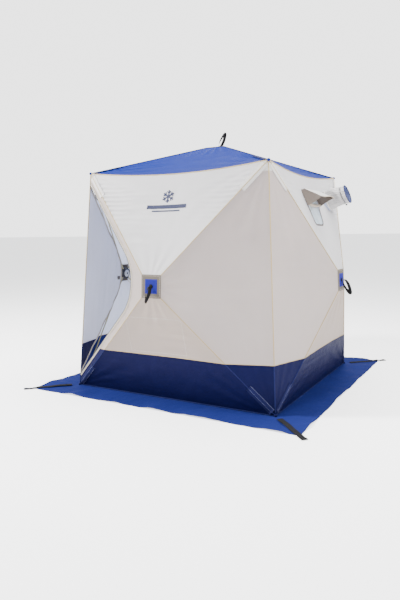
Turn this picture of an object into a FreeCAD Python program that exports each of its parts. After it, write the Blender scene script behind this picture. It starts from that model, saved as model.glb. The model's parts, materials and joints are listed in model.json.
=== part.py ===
import FreeCAD, Part
import os
from math import asin, atan2, cos, degrees, hypot, pi, radians, sin, sqrt, tan

import Sketcher
from FreeCAD import Matrix, Placement, Rotation, Vector

# Pop-up ice fishing shelter. Millimetres, +Z up, ground at z = 0, front wall facing -Y.
# Four walls and a roof are alike: each face has a hub at its middle, four bowed poles from the hub
# to the corners, and four fabric panels between the poles. The hub stands proud of the face.
SIZES = [
    ("base_half", 900, "half the distance between the bottom corners"),
    ("lean_in", 105, "how far a top corner stands in from the bottom one, each way"),
    ("corner_height", 1790, "height of the top corners"),
    ("hub_drop", 901, "distance down the wall from its eave to its hub"),
    ("wall_bulge", 250, "how far a wall's hub stands out from the wall's plane"),
    ("roof_bulge", 240, "how far the roof's hub stands up from the roof's plane"),
    ("patch_half", 82.5, "half the side of the square patch over a hub"),
    ("fabric", 3, "thickness of a fabric panel's solid"),
    ("hinge_gap", 8, "from a seam's axis to the panel sewn to it"),
    ("crest_clearance", 10, "from a patch to a panel as the panel passes it in popping"),
    ("ridge_gap_corner", 15, "from a ridge line to a panel, at the corner end"),
    ("ridge_clearance", 5, "from a ridge line to a panel's hub end as it passes flat in popping"),
    ("seam_radius", 4, "radius of the piped seams"),
    ("cap_radius", 14, "radius of the corner joints"),
    ("skirt_thick", 3, "thickness of the ground skirt"),
    ("skirt_width", 275, "how far the ground skirt reaches out from the hem"),
    ("skirt_lap", 20, "how far the skirt reaches in under the hem"),
    ("strap_width", 45, "width of an anchor strap"),
    ("strap_thick", 2.5, "thickness of an anchor strap"),
    ("strap_start", 60, "from a bottom corner out to where its strap begins"),
    ("strap_overhang", 75, "how far a strap reaches past the skirt's corner"),
    ("hub_radius", 58, "radius of a hub's disc"),
    ("hub_depth", 36, "thickness of a hub's disc"),
    ("hub_setback", 6, "from the patch's plane in to the hub's disc"),
    ("boss_radius", 26, "radius of the boss that carries the patch"),
    ("pin_circle", 42, "from a hub's axis to a pole's pin"),
    ("pole_clearance", 0.8, "from a popped-in pole to the back of the patch"),
    ("pin_radius", 2.5, "radius of a pole's pin"),
    ("pin_half", 11, "half the length of a pole's pin"),
    ("pin_clearance", 0.05, "running clearance between a pin and the pole's eye"),
    ("tang_thick", 8, "thickness of the pole's tang"),
    ("tang_height", 12, "height of the pole's tang"),
    ("tang_clearance", 0.3, "clearance each side of a tang in its slot"),
    ("cover_radius", 34, "radius of the inner cover disc"),
    ("cover_thick", 5, "thickness of the inner cover disc"),
    ("bolt_radius", 4, "radius of the hub's centre bolt"),
    ("bolt_head_radius", 8, "radius of the bolt's head"),
    ("bolt_head_height", 6, "height of the bolt's head"),
    ("pole_radius", 5.5, "radius of a fibreglass pole"),
    ("ferrule_radius", 7, "radius of the ferrule at a pole's hub end"),
    ("ferrule_start", 20, "from the pin to the ferrule's shoulder"),
    ("ferrule_length", 60, "length of the ferrule"),
    ("pole_stop", 90, "from a corner back to the tip of its pole, clear of the next wall's pole"),
    ("tip_radius", 7.5, "radius of the tip cap"),
    ("tip_length", 30, "length of the tip cap"),
    ("tip_floor", 5, "thickness of the tip cap's closed end"),
    ("loop_width", 25, "width of a pull loop's webbing"),
    ("loop_thick", 2.5, "thickness of a pull loop's webbing"),
    ("loop_length", 125, "length of a pull loop"),
    ("loop_span", 46, "distance across a pull loop"),
    ("door_radius", 330, "radius of the doorway's rounded side"),
    ("door_ridge_gap", 62, "from a ridge to the doorway's straight side"),
    ("door_gap", 4, "gap between the door flap and the doorway's edge"),
    ("door_edge", 35, "from the corner seam to the door flap"),
    ("door_stow_angle", 8.4, "between the stowed door flap and the next wall's panel, in degrees"),
    ("slider_length", 30, "length of the zip slider"),
    ("slider_width", 14, "width of the zip slider"),
    ("slider_height", 7, "height of the zip slider"),
    ("slider_lift", 0.3, "clearance between the slider and the panel"),
    ("slider_start", 120, "from the zip's upper end along it to the slider"),
    ("pull_length", 42, "length of the zip pull"),
    ("pull_width", 11, "width of the zip pull"),
    ("pull_thick", 2, "thickness of the zip pull"),
    ("window_middle", 845, "from the rear top corner along the eave to the window's middle"),
    ("window_top", 175, "from the eave down the panel to the window's top edge"),
    ("window_bottom", 465, "from the eave down the panel to the window's bottom edge"),
    ("window_top_half", 180, "half the window's width at its top"),
    ("window_bottom_half", 105, "half the window's width at its bottom"),
    ("film_top", 300, "from the eave down the panel to the clear film's top edge"),
    ("film_thick", 1.5, "thickness of the clear film"),
    ("visor_depth", 165, "depth of the window's visor"),
    ("visor_tip_half", 150, "half the visor's width at its free edge"),
    ("visor_lift", 6, "from the panel's middle plane out to the visor's hinge"),
    ("visor_gap", 4, "from the visor's hinge to the visor"),
    ("visor_angle", 44, "angle from closed to the propped visor, in degrees"),
    ("sleeve_at", 450, "from the rear top corner along the eave to the vent sleeve"),
    ("sleeve_drop", 245, "from the eave down the panel to the vent sleeve's axis"),
    ("sleeve_radius", 85, "outer radius of the vent sleeve"),
    ("sleeve_wall", 3, "wall of the vent sleeve"),
    ("sleeve_length", 175, "how far the vent sleeve stands out"),
    ("sleeve_gap", 1, "gap between the sleeve and the edge of its hole"),
    ("lock_radius", 7, "radius of the cord lock"),
    ("lock_length", 22, "length of the cord lock"),
    ("lock_bore", 2.2, "radius of the cord's hole in the lock"),
    ("lock_inset", 40, "from the sleeve's mouth back to the cord lock"),
    ("lock_gap", 1.5, "gap between the sleeve and the cord lock"),
]
D = {name: value for name, value, note in SIZES}
TOP_HALF = D["base_half"] - D["lean_in"]

doc = FreeCAD.newDocument("IceFishingShelter")
sheet = doc.addObject("Spreadsheet::Sheet", "Dims")
sheet.set("A1", "name")
sheet.set("B1", "value")
sheet.set("C1", "what it is")
next_row = 2


def add_cell(name, value, note):
    """Write one value to the next row of the sheet and give it its name."""
    global next_row
    sheet.set("A%d" % next_row, name)
    sheet.set("B%d" % next_row, repr(round(float(value), 6)))
    sheet.set("C%d" % next_row, note)
    sheet.setAlias("B%d" % next_row, name)
    next_row += 1


for size_name, size_value, size_note in SIZES:
    add_cell(size_name, size_value, size_note)

# ---- faces: where each wall and the roof stand, in their own directions -------------------------

HEM = D["skirt_thick"] + D["seam_radius"]
WALL_RISE = hypot(D["corner_height"] - HEM, D["lean_in"])
WALL_NAMES = ["front", "right", "back", "left"]


class Face:
    """A wall or the roof: across and up lie in its plane, out points away from the shelter."""

    def __init__(self, name, foot, across, up, corners, edge_names, bulge):
        self.name, self.foot, self.across, self.up = name, foot, across, up
        self.out = across.cross(up)
        self.corners, self.edge_names, self.bulge = corners, edge_names, bulge

    def point(self, a, b, c=0.0):
        """The point a across, b up and c out from the hub's foot in the face's plane."""
        return self.foot + self.across * a + self.up * b + self.out * c


def wall_face(index):
    turn = Rotation(Vector(0, 0, 1), 90.0 * index)
    slope = Vector(0, D["lean_in"], D["corner_height"] - HEM).normalize()
    top, bottom = D["hub_drop"], D["hub_drop"] - WALL_RISE
    foot = Vector(0, -D["base_half"], HEM) - slope * bottom
    corners = [(TOP_HALF, top), (-TOP_HALF, top), (-D["base_half"], bottom), (D["base_half"], bottom)]
    return Face(WALL_NAMES[index], turn.multVec(foot), turn.multVec(Vector(1, 0, 0)),
                turn.multVec(slope), corners, ["top", "left", "bottom", "right"], D["wall_bulge"])


def roof_face():
    corners = [(TOP_HALF, TOP_HALF), (-TOP_HALF, TOP_HALF), (-TOP_HALF, -TOP_HALF), (TOP_HALF, -TOP_HALF)]
    return Face("roof", Vector(0, 0, D["corner_height"]), Vector(1, 0, 0), Vector(0, 1, 0),
                corners, ["back", "left", "front", "right"], D["roof_bulge"])


FACES = [wall_face(index) for index in range(4)] + [roof_face()]
POLE_NAMES = {"roof": ["back_right", "back_left", "front_left", "front_right"]}
WALL_POLE_NAMES = ["upper_right", "upper_left", "lower_left", "lower_right"]


def frame(origin, x_axis, y_axis):
    """A placement whose own X and Y axes point along the two given directions."""
    x_dir = Vector(x_axis).normalize()
    z_dir = x_dir.cross(Vector(y_axis)).normalize()
    y_dir = z_dir.cross(x_dir)
    return Placement(Matrix(x_dir.x, y_dir.x, z_dir.x, origin.x, x_dir.y, y_dir.y, z_dir.y, origin.y,
                            x_dir.z, y_dir.z, z_dir.z, origin.z, 0, 0, 0, 1))


class PanelPlane:
    """The plane of one fabric panel: x runs along its sewn edge, y in towards the hub's patch."""

    def __init__(self, face, side):
        start, end = face.corners[side], face.corners[(side + 1) % 4]
        self.start, finish = face.point(*start), face.point(*end)
        self.along = finish - self.start
        self.length = self.along.Length
        self.along.normalize()
        inward = face.out.cross(self.along)
        toward = [(0, 1), (-1, 0), (0, -1), (1, 0)][side]
        patch_edge = face.point(toward[0] * D["patch_half"], toward[1] * D["patch_half"], face.bulge)
        offset = patch_edge - self.start
        self.foot = offset.dot(self.along)
        slant = offset - self.along * self.foot
        self.reach = slant.Length
        self.flat_reach = slant.dot(inward)
        self.tilt = asin(slant.dot(face.out) / self.reach)
        self.place = frame(self.start, self.along, slant)

    def inward(self):
        return self.place.Rotation.multVec(Vector(0, 1, 0))

    def ridge_runs(self):
        """How far each ridge travels along x on its way from its corner to the patch."""
        return self.foot - D["patch_half"], self.length - self.foot - D["patch_half"]

    def trapezoid(self):
        """The panel's corners: where it starts and ends along x, near the seam and near the hub."""
        overshoot = self.reach - self.flat_reach
        near, far = D["hinge_gap"], self.reach - overshoot - D["crest_clearance"]
        spans = []
        for run in self.ridge_runs():
            ridge = hypot(self.reach, run)
            hub_gap = D["ridge_clearance"] + overshoot * run / ridge
            spans.append((run * near / self.reach + D["ridge_gap_corner"] * ridge / self.reach,
                          run * far / self.reach + hub_gap * ridge / self.reach))
        (start_near, start_far), (end_near, end_far) = spans
        return {"near": near, "far": far, "start_near": start_near, "end_near": self.length - end_near,
                "start_far": start_far, "end_far": self.length - end_far}


PANELS = {(face.name, face.edge_names[side]): PanelPlane(face, side) for face in FACES for side in range(4)}
for kind, key in (("top", ("front", "top")), ("left", ("front", "left")), ("bottom", ("front", "bottom")),
                  ("right", ("front", "right")), ("roof", ("roof", "front"))):
    for part_name, value in PANELS[key].trapezoid().items():
        add_cell("%s_panel_%s" % (kind, part_name), value, "worked out from the sizes above")


def pole_run(face):
    """Each pole of a face: its bearing in the face's plane, its slope and its length."""
    runs = []
    for a, b in face.corners:
        flat = hypot(a, b) - D["pin_circle"]
        runs.append({"bearing": atan2(b, a), "slope": atan2(face.bulge, flat),
                     "length": hypot(flat, face.bulge) - D["pole_stop"]})
    return runs


FLATTEST_RUN = min(hypot(a, b) - D["pin_circle"] for face in FACES for a, b in face.corners)
STEEPEST = atan2(max(D["wall_bulge"], D["roof_bulge"]), FLATTEST_RUN)
PIN_SETBACK = (D["fabric"] / 2 + D["pole_clearance"] + D["ferrule_radius"] / cos(STEEPEST)
               + (D["patch_half"] * sqrt(2) - D["pin_circle"]) * tan(STEEPEST))
POLE_KINDS = {"upper": pole_run(FACES[0])[0], "lower": pole_run(FACES[0])[2], "roof": pole_run(FACES[4])[0]}
for kind, run in POLE_KINDS.items():
    add_cell("%s_pole_length" % kind, run["length"], "from a pole's pin to its tip, worked out")
    add_cell("%s_pole_angle" % kind, degrees(abs(run["bearing"])), "a pole's bearing, in degrees, worked out")
doc.recompute()

# ---- helpers ----------------------------------------------------------------------------------

nodes = {}


def add(kind, name, **sizes):
    """Add one Part object; a text size is a formula on the sheet, a number is set as it is."""
    item = doc.addObject(kind, name)
    for prop, value in sizes.items():
        if isinstance(value, str):
            item.setExpression(prop, value)
        else:
            setattr(item, prop, value)
    return item


def cut(name, base, tools):
    tool = join(name + "_tools", tools) if isinstance(tools, list) else tools
    return add("Part::Cut", name, Base=base, Tool=tool)


def join(name, pieces):
    return add("Part::MultiFuse", name, Shapes=pieces)


def tube(name, outer, inner, height):
    return cut(name, add("Part::Cylinder", name + "_outside", Radius=outer, Height=height),
               add("Part::Cylinder", name + "_bore", Radius=inner, Height=height))


def node(label, item, place=Placement()):
    """Name a finished sub-part and put it in its place."""
    item.Label = label
    item.Placement = place.multiply(item.Placement)
    nodes[label] = item
    return item


def group(label, pieces, place=Placement()):
    """One sub-part made of several solids that stay separate."""
    return node(label, add("Part::Compound", label + "_pieces", Links=pieces), place)


def origin_plane(body, role):
    return [item for item in body.Origin.OriginFeatures if item.Role == role][0]


def new_sketch(body, name):
    sketch = body.newObject("Sketcher::SketchObject", name)
    sketch.AttachmentSupport = (origin_plane(body, "XY_Plane"), [""])
    sketch.MapMode = "FlatFace"
    return sketch


def bound(sketch, constraint, formula):
    """Add a constraint whose value follows the sheet."""
    index = sketch.addConstraint(constraint)
    sketch.setExpression("Constraints[%d]" % index, formula)


def pad(body, sketch, length, middle=True):
    feature = body.newObject("PartDesign::Pad", body.Name + "_pad")
    feature.Profile = sketch
    feature.setExpression("Length", length)
    feature.Midplane = middle
    sketch.Visibility = False
    return feature


# ---- fabric panels ------------------------------------------------------------------------------

def panel_wedge(name, kind):
    """A flat trapezoid of fabric between two ridges, thickness centred on its plane."""
    cell = "Dims.%s_panel_" % kind
    return add("Part::Wedge", name, Xmin=cell + "start_near", Xmax=cell + "end_near",
               X2min=cell + "start_far",
               X2max=cell + "end_far", Ymin=cell + "near", Ymax=cell + "far", Zmin="-Dims.fabric / 2",
               Zmax="Dims.fabric / 2", Z2min="-Dims.fabric / 2", Z2max="Dims.fabric / 2")


class DoorShape:
    """The doorway: two straight sides that run beside the ridges and one arc tangent to both.

    The inset moves every side in from the doorway's edge; edge is the distance from the corner seam.
    """

    def __init__(self, inset=0.0, edge=0.0):
        plane = PANELS[("front", "left")]
        runs = plane.ridge_runs()
        self.upper_angle, self.lower_angle = [atan2(plane.reach, run) for run in runs]
        gap = D["door_ridge_gap"]
        along = cos(self.upper_angle) / sin(self.upper_angle) + cos(self.lower_angle) / sin(self.lower_angle)
        inner = gap + D["door_radius"]
        start, end = inner / sin(self.upper_angle), plane.length - inner / sin(self.lower_angle)
        self.centre_y = (end - start) / along
        self.centre_x = start + self.centre_y * cos(self.upper_angle) / sin(self.upper_angle)
        self.radius = D["door_radius"] - inset
        self.upper = self.on_arc(pi / 2 + self.upper_angle)
        self.lower = self.on_arc(pi / 2 - self.lower_angle)
        self.start_x = (gap + inset) / sin(self.upper_angle) + edge / tan(self.upper_angle)
        self.end_x = plane.length - (gap + inset) / sin(self.lower_angle) - edge / tan(self.lower_angle)

    def on_arc(self, angle):
        return Vector(self.centre_x + self.radius * cos(angle), self.centre_y + self.radius * sin(angle), 0)


DOORWAY = DoorShape()
DOOR_PANEL, NEXT_PANEL = PANELS[("front", "left")], PANELS[("left", "right")]
DOOR_OPEN_ANGLE = degrees(DOOR_PANEL.inward().getAngle(NEXT_PANEL.inward())) - D["door_stow_angle"]
add_cell("door_centre_along", DOORWAY.centre_x, "from the top corner to the arc's centre, worked out")
add_cell("door_centre_in", DOORWAY.centre_y, "from the corner seam to the arc's centre, worked out")
add_cell("door_upper_angle", degrees(DOORWAY.upper_angle),
         "between seam and upper ridge, in degrees, worked out")
add_cell("door_lower_angle", degrees(DOORWAY.lower_angle),
         "between seam and lower ridge, in degrees, worked out")
doc.recompute()


def door_outline(name, inset, edge, thick):
    """A body of the doorway's shape; inset and edge are names of sizes, or None for zero."""
    shape = DoorShape(D.get(inset, 0), D.get(edge, 0))
    edge_value = D.get(edge, 0)
    body = doc.addObject("PartDesign::Body", name)
    sketch = new_sketch(body, name + "_sketch")
    start, end = Vector(shape.start_x, edge_value, 0), Vector(shape.end_x, edge_value, 0)
    circle = Part.Circle(Vector(shape.centre_x, shape.centre_y, 0), Vector(0, 0, 1), shape.radius)
    arc = Part.ArcOfCircle(circle, pi / 2 - shape.lower_angle, pi / 2 + shape.upper_angle)
    sketch.addGeometry([Part.LineSegment(end, start), Part.LineSegment(start, shape.upper), arc,
                        Part.LineSegment(shape.lower, end)])
    sketch.addConstraint([Sketcher.Constraint("Coincident", 0, 2, 1, 1),
                          Sketcher.Constraint("Coincident", 3, 2, 0, 1),
                          Sketcher.Constraint("Tangent", 1, 2, 2, 2),
                          Sketcher.Constraint("Tangent", 2, 1, 3, 1),
                          Sketcher.Constraint("Horizontal", 0)])
    bound(sketch, Sketcher.Constraint("Angle", 1, shape.upper_angle), "Dims.door_upper_angle")
    bound(sketch, Sketcher.Constraint("Angle", 3, -shape.lower_angle), "-Dims.door_lower_angle")
    bound(sketch, Sketcher.Constraint("Radius", 2, shape.radius),
          "Dims.door_radius" + (" - Dims." + inset if inset else ""))
    bound(sketch, Sketcher.Constraint("DistanceX", -1, 1, 2, 3, shape.centre_x), "Dims.door_centre_along")
    bound(sketch, Sketcher.Constraint("DistanceY", -1, 1, 2, 3, shape.centre_y), "Dims.door_centre_in")
    if edge:
        bound(sketch, Sketcher.Constraint("DistanceY", -1, 1, 0, 1, edge_value), "Dims." + edge)
    else:
        sketch.addConstraint(Sketcher.Constraint("PointOnObject", 0, 1, -1))
    pad(body, sketch, thick)
    return body


def window_opening():
    return add("Part::Wedge", "window_opening", Xmin="Dims.window_middle - Dims.window_top_half",
               Xmax="Dims.window_middle + Dims.window_top_half",
               X2min="Dims.window_middle - Dims.window_bottom_half",
               X2max="Dims.window_middle + Dims.window_bottom_half", Ymin="Dims.window_top",
               Ymax="Dims.window_bottom", Zmin="-Dims.fabric", Zmax="Dims.fabric", Z2min="-Dims.fabric",
               Z2max="Dims.fabric")


def build_panels():
    for (face_name, side), plane in PANELS.items():
        label = "%s_panel_%s" % (face_name, side)
        kind = "roof" if face_name == "roof" else side
        panel = panel_wedge(label + "_blank", kind)
        if label == "front_panel_left":
            doorway = door_outline("doorway", None, None, "2 * Dims.fabric")
            threshold = add("Part::Box", "doorway_seam_side", Width="2 * Dims.hinge_gap",
                            Height="2 * Dims.fabric",
                            Length=DOORWAY.end_x - DOORWAY.start_x - 2 * D["hinge_gap"])
            threshold.Placement.Base = Vector(DOORWAY.start_x + D["hinge_gap"], -D["hinge_gap"], -D["fabric"])
            panel = cut(label + "_sheet", panel, [doorway, threshold])
        if label == "right_panel_top":
            hole = add("Part::Cylinder", "sleeve_hole", Radius="Dims.sleeve_radius + Dims.sleeve_gap",
                       Height="2 * Dims.fabric")
            hole.Placement.Base = Vector(D["sleeve_at"], D["sleeve_drop"], -D["fabric"])
            panel = cut(label + "_sheet", panel, [window_opening(), hole])
        node(label, panel, plane.place)


# ---- hubs -----------------------------------------------------------------------------------------

def ring_of_pins(face, name):
    """The four pins of a hub, each square to its pole; own axes are the face's, origin on the patch."""
    pins = []
    for index, run in enumerate(pole_run(face)):
        pin = add("Part::Cylinder", "%s_pin_%d" % (name, index + 1), Radius="Dims.pin_radius",
                  Height="2 * Dims.pin_half")
        toward = Vector(cos(run["bearing"]), sin(run["bearing"]), 0)
        sideways = Vector(-sin(run["bearing"]), cos(run["bearing"]), 0)
        start = toward * D["pin_circle"] - sideways * D["pin_half"] - Vector(0, 0, PIN_SETBACK)
        pin.Placement = Placement(start, Rotation(Vector(0, 0, 1), sideways))
        pins.append(pin)
    return pins


def hub_slots(face, name):
    """Four slots in the hub's disc, each open at the rim, for the tangs of the poles."""
    slots = []
    inner = D["boss_radius"]
    for index, run in enumerate(pole_run(face)):
        slot = add("Part::Box", "%s_slot_%d" % (name, index + 1), Length="Dims.hub_radius",
                   Width="Dims.tang_thick + 2 * Dims.tang_clearance",
                   Height="Dims.hub_depth + 2 * Dims.hub_setback")
        half = D["tang_thick"] / 2 + D["tang_clearance"]
        spin = Rotation(Vector(0, 0, 1), degrees(run["bearing"]))
        corner = spin.multVec(Vector(inner, -half, 0)) - Vector(0, 0, D["hub_depth"] + 1.5 * D["hub_setback"])
        slot.Placement = Placement(corner, spin)
        slots.append(slot)
    return slots


def hub(face):
    """Disc with pole slots, boss, pins, inner cover and centre bolt; z = 0 is the patch's plane."""
    name = face.name + "_hub"
    disc = add("Part::Cylinder", name + "_disc", Radius="Dims.hub_radius", Height="Dims.hub_depth")
    disc.Placement.Base = Vector(0, 0, -D["hub_setback"] - D["hub_depth"])
    boss = add("Part::Cylinder", name + "_boss", Radius="Dims.boss_radius", Height="Dims.hub_setback")
    boss.Placement.Base = Vector(0, 0, -D["hub_setback"] - D["fabric"] / 2)
    bore = add("Part::Cylinder", name + "_bore", Radius="Dims.bolt_radius", Height="2 * Dims.hub_depth")
    bore.Placement.Base = Vector(0, 0, -1.5 * D["hub_depth"])
    pins = ring_of_pins(face, name)
    holes = ring_of_pins(face, name + "_hole")
    base = cut(name + "_base", join(name + "_solid", [disc, boss]), [bore] + hub_slots(face, name) + holes)
    cover_disc = add("Part::Cylinder", name + "_cover_disc", Radius="Dims.cover_radius",
                     Height="Dims.cover_thick")
    cover_disc.Placement.Base = Vector(0, 0, -D["hub_setback"] - D["hub_depth"] - D["cover_thick"])
    cover_bore = add("Part::Cylinder", name + "_cover_bore", Radius="Dims.bolt_radius",
                     Height="4 * Dims.cover_thick")
    cover_bore.Placement.Base = Vector(0, 0, -D["hub_setback"] - D["hub_depth"] - 2 * D["cover_thick"])
    cover = cut(name + "_cover", cover_disc, cover_bore)
    back = -D["hub_setback"] - D["hub_depth"] - D["cover_thick"]
    shank = add("Part::Cylinder", name + "_shank", Radius="Dims.bolt_radius",
                Height="Dims.hub_depth + Dims.cover_thick + Dims.hub_setback - Dims.fabric / 2")
    shank.Placement.Base = Vector(0, 0, back)
    head = add("Part::Prism", name + "_head", Polygon=6, Circumradius="Dims.bolt_head_radius",
               Height="Dims.bolt_head_height")
    head.Placement.Base = Vector(0, 0, back - D["bolt_head_height"])
    bolt = join(name + "_bolt", [shank, head])
    middle = face.point(0, 0, face.bulge)
    group(name, [base, cover, bolt] + pins, frame(middle, face.across, face.up))


def pull_loop(name):
    """A flat ring of webbing, two straight legs and two round ends, hanging along its own -Y."""
    body = doc.addObject("PartDesign::Body", name)
    sketch = new_sketch(body, name + "_sketch")
    for radius in (D["loop_span"] / 2, D["loop_span"] / 2 - D["loop_thick"]):
        first = sketch.GeometryCount
        high, low = -D["loop_span"] / 2, -D["loop_length"] + D["loop_span"] / 2
        top = Part.Circle(Vector(0, high, 0), Vector(0, 0, 1), radius)
        end = Part.Circle(Vector(0, low, 0), Vector(0, 0, 1), radius)
        sketch.addGeometry([Part.ArcOfCircle(top, 0, pi), Part.LineSegment(Vector(-radius, high, 0),
                                                                           Vector(-radius, low, 0)),
                            Part.ArcOfCircle(end, pi, 2 * pi), Part.LineSegment(Vector(radius, low, 0),
                                                                                Vector(radius, high, 0))])
        sketch.addConstraint([Sketcher.Constraint("Tangent", first, 2, first + 1, 1),
                              Sketcher.Constraint("Tangent", first + 1, 2, first + 2, 1),
                              Sketcher.Constraint("Tangent", first + 2, 2, first + 3, 1),
                              Sketcher.Constraint("Tangent", first + 3, 2, first, 1),
                              Sketcher.Constraint("PointOnObject", first, 3, -2),
                              Sketcher.Constraint("PointOnObject", first + 2, 3, -2)])
        less = "" if radius == D["loop_span"] / 2 else " - Dims.loop_thick"
        bound(sketch, Sketcher.Constraint("Radius", first, radius), "Dims.loop_span / 2" + less)
        bound(sketch, Sketcher.Constraint("DistanceY", first, 3, -1, 1, -high), "Dims.loop_span / 2")
        bound(sketch, Sketcher.Constraint("DistanceY", first + 2, 3, -1, 1, -low),
              "Dims.loop_length - Dims.loop_span / 2")
    pad(body, sketch, "Dims.loop_width")
    return body


# How each loop hangs from its patch: the wall loops lean out a little, the roof loop lies over.
LOOP_LEAN = {"roof": 62}
WALL_LOOP_LEAN = 24


def hub_patch(face):
    """The square patch over a hub, with its pull loop sewn at the middle."""
    name = face.name + "_hub_patch"
    plate = add("Part::Box", name + "_plate", Length="2 * Dims.patch_half", Width="2 * Dims.patch_half",
                Height="Dims.fabric")
    plate.Placement.Base = Vector(-D["patch_half"], -D["patch_half"], -D["fabric"] / 2)
    loop = pull_loop(name + "_loop")
    lean = LOOP_LEAN.get(face.name, WALL_LOOP_LEAN)
    out_and_down = Rotation(Vector(1, 0, 0), -lean)
    on_edge = Rotation(Vector(0, 1, 0), 90)
    turn = Rotation(Vector(0, 0, 1), 90 if face.name == "roof" else 0)
    lift = D["fabric"] / 2 + D["loop_span"] / 2 * cos(radians(lean)) + 1
    loop.Placement = Placement(Vector(0, 0, lift), turn.multiply(out_and_down.multiply(on_edge)))
    group(name, [plate, loop], frame(face.point(0, 0, face.bulge), face.across, face.up))


# ---- poles --------------------------------------------------------------------------------------

def along_x(item, start):
    item.Placement = Placement(Vector(start, 0, 0), Rotation(Vector(0, 1, 0), 90))
    return item


def pole_place(face, run):
    """Pin end of a pole: x runs to the corner, z is the pin's axis, set in behind the fabric."""
    toward = face.across * cos(run["bearing"]) + face.up * sin(run["bearing"])
    pin = face.foot + toward * D["pin_circle"] + face.out * (face.bulge - PIN_SETBACK)
    run_dir = toward * cos(run["slope"]) - face.out * sin(run["slope"])
    return frame(pin, run_dir, toward * sin(run["slope"]) + face.out * cos(run["slope"]))


def pole(face, run, label, kind):
    """Fibreglass rod, eyed ferrule at the hub and a moulded tip cap at the corner."""
    length = "Dims.%s_pole_length" % kind
    socket = D["ferrule_start"] + D["tang_height"]
    rod = along_x(add("Part::Cylinder", label + "_rod", Radius="Dims.pole_radius",
                      Height="%s - Dims.ferrule_start - Dims.tang_height - Dims.tip_floor" % length), socket)
    sleeve = along_x(add("Part::Cylinder", label + "_sleeve", Radius="Dims.ferrule_radius",
                         Height="Dims.ferrule_length"), D["ferrule_start"])
    tang = add("Part::Box", label + "_tang", Length="Dims.ferrule_start + Dims.tang_height",
               Width="Dims.tang_height", Height="Dims.tang_thick")
    tang.Placement.Base = Vector(-D["tang_height"] / 2, -D["tang_height"] / 2, -D["tang_thick"] / 2)
    eye = add("Part::Cylinder", label + "_eye", Radius="Dims.pin_radius + Dims.pin_clearance",
              Height="2 * Dims.tang_thick")
    eye.Placement.Base = Vector(0, 0, -D["tang_thick"])
    bore = along_x(add("Part::Cylinder", label + "_bore", Radius="Dims.pole_radius",
                       Height="2 * Dims.ferrule_length"),
                   socket)
    ferrule = cut(label + "_ferrule", join(label + "_ferrule_solid", [sleeve, tang]), [eye, bore])
    cap = along_x(add("Part::Cylinder", label + "_cap", Radius="Dims.tip_radius", Height="Dims.tip_length"),
                  run["length"] - D["tip_length"])
    hollow = along_x(add("Part::Cylinder", label + "_hollow", Radius="Dims.pole_radius",
                         Height="Dims.tip_length"), run["length"] - D["tip_length"] - D["tip_floor"])
    tip = cut(label + "_tip", cap, hollow)
    group(label, [rod, ferrule, tip], pole_place(face, run))


def build_faces():
    for face in FACES:
        hub(face)
        hub_patch(face)
        names = POLE_NAMES.get(face.name, WALL_POLE_NAMES)
        for name, run in zip(names, pole_run(face)):
            kind = "roof" if face.name == "roof" else name.split("_")[0]
            pole(face, run, "%s_pole_%s" % (face.name, name), kind)


# ---- seams, corners and the ground ----------------------------------------------------------------

def seam(name, start, end):
    """A piped seam between two corners, stopping where it meets their joints."""
    run = end - start
    item = add("Part::Cylinder", name, Radius="Dims.seam_radius", Height=run.Length - 2 * D["cap_radius"])
    run.normalize()
    item.Placement = Placement(start + run * D["cap_radius"], Rotation(Vector(0, 0, 1), run))
    return item


def build_shell():
    cords, joints = [], []
    for index in range(4):
        face, after = FACES[index], FACES[(index + 1) % 4]
        top_right, top_left, low_left, low_right = [face.point(*corner) for corner in face.corners]
        cords += [seam(face.name + "_eave", top_right, top_left), seam(face.name + "_hem", low_left,
                                                                       low_right),
                  seam("%s_%s_corner_seam" % (face.name, after.name), top_right, low_right)]
        upper = add("Part::Sphere", face.name + "_upper_joint", Radius="Dims.cap_radius")
        upper.Placement.Base = top_right
        lower = add("Part::Sphere", face.name + "_lower_joint", Radius="Dims.cap_radius",
                    Angle1="-asin(Dims.seam_radius / Dims.cap_radius)")
        lower.Placement.Base = low_right
        joints += [upper, lower]
    group("seam_bindings", cords)
    group("corner_caps", joints)
    sheet_box = add("Part::Box", "skirt_outer", Height="Dims.skirt_thick",
                    Length="2 * (Dims.base_half + Dims.skirt_width)",
                    Width="2 * (Dims.base_half + Dims.skirt_width)")
    outer = D["base_half"] + D["skirt_width"]
    sheet_box.Placement.Base = Vector(-outer, -outer, 0)
    inner = D["base_half"] - D["skirt_lap"]
    opening = add("Part::Box", "skirt_opening", Length="2 * (Dims.base_half - Dims.skirt_lap)",
                  Width="2 * (Dims.base_half - Dims.skirt_lap)", Height="3 * Dims.skirt_thick")
    opening.Placement.Base = Vector(-inner, -inner, -D["skirt_thick"])
    node("ground_skirt", cut("skirt_sheet", sheet_box, opening))
    straps = []
    for index in range(4):
        strap = add("Part::Box", "strap_%d" % (index + 1), Width="Dims.strap_width",
                    Height="Dims.strap_thick",
                    Length="Dims.skirt_width * sqrt(2) - Dims.strap_start + Dims.strap_overhang")
        spin = Rotation(Vector(0, 0, 1), 45 + 90 * index)
        start = Vector(D["base_half"] * sqrt(2) + D["strap_start"], -D["strap_width"] / 2, D["skirt_thick"])
        strap.Placement = Placement(spin.multVec(start), spin)
        straps.append(strap)
    group("anchor_straps", straps)


# ---- door, window and vent ------------------------------------------------------------------------

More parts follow.
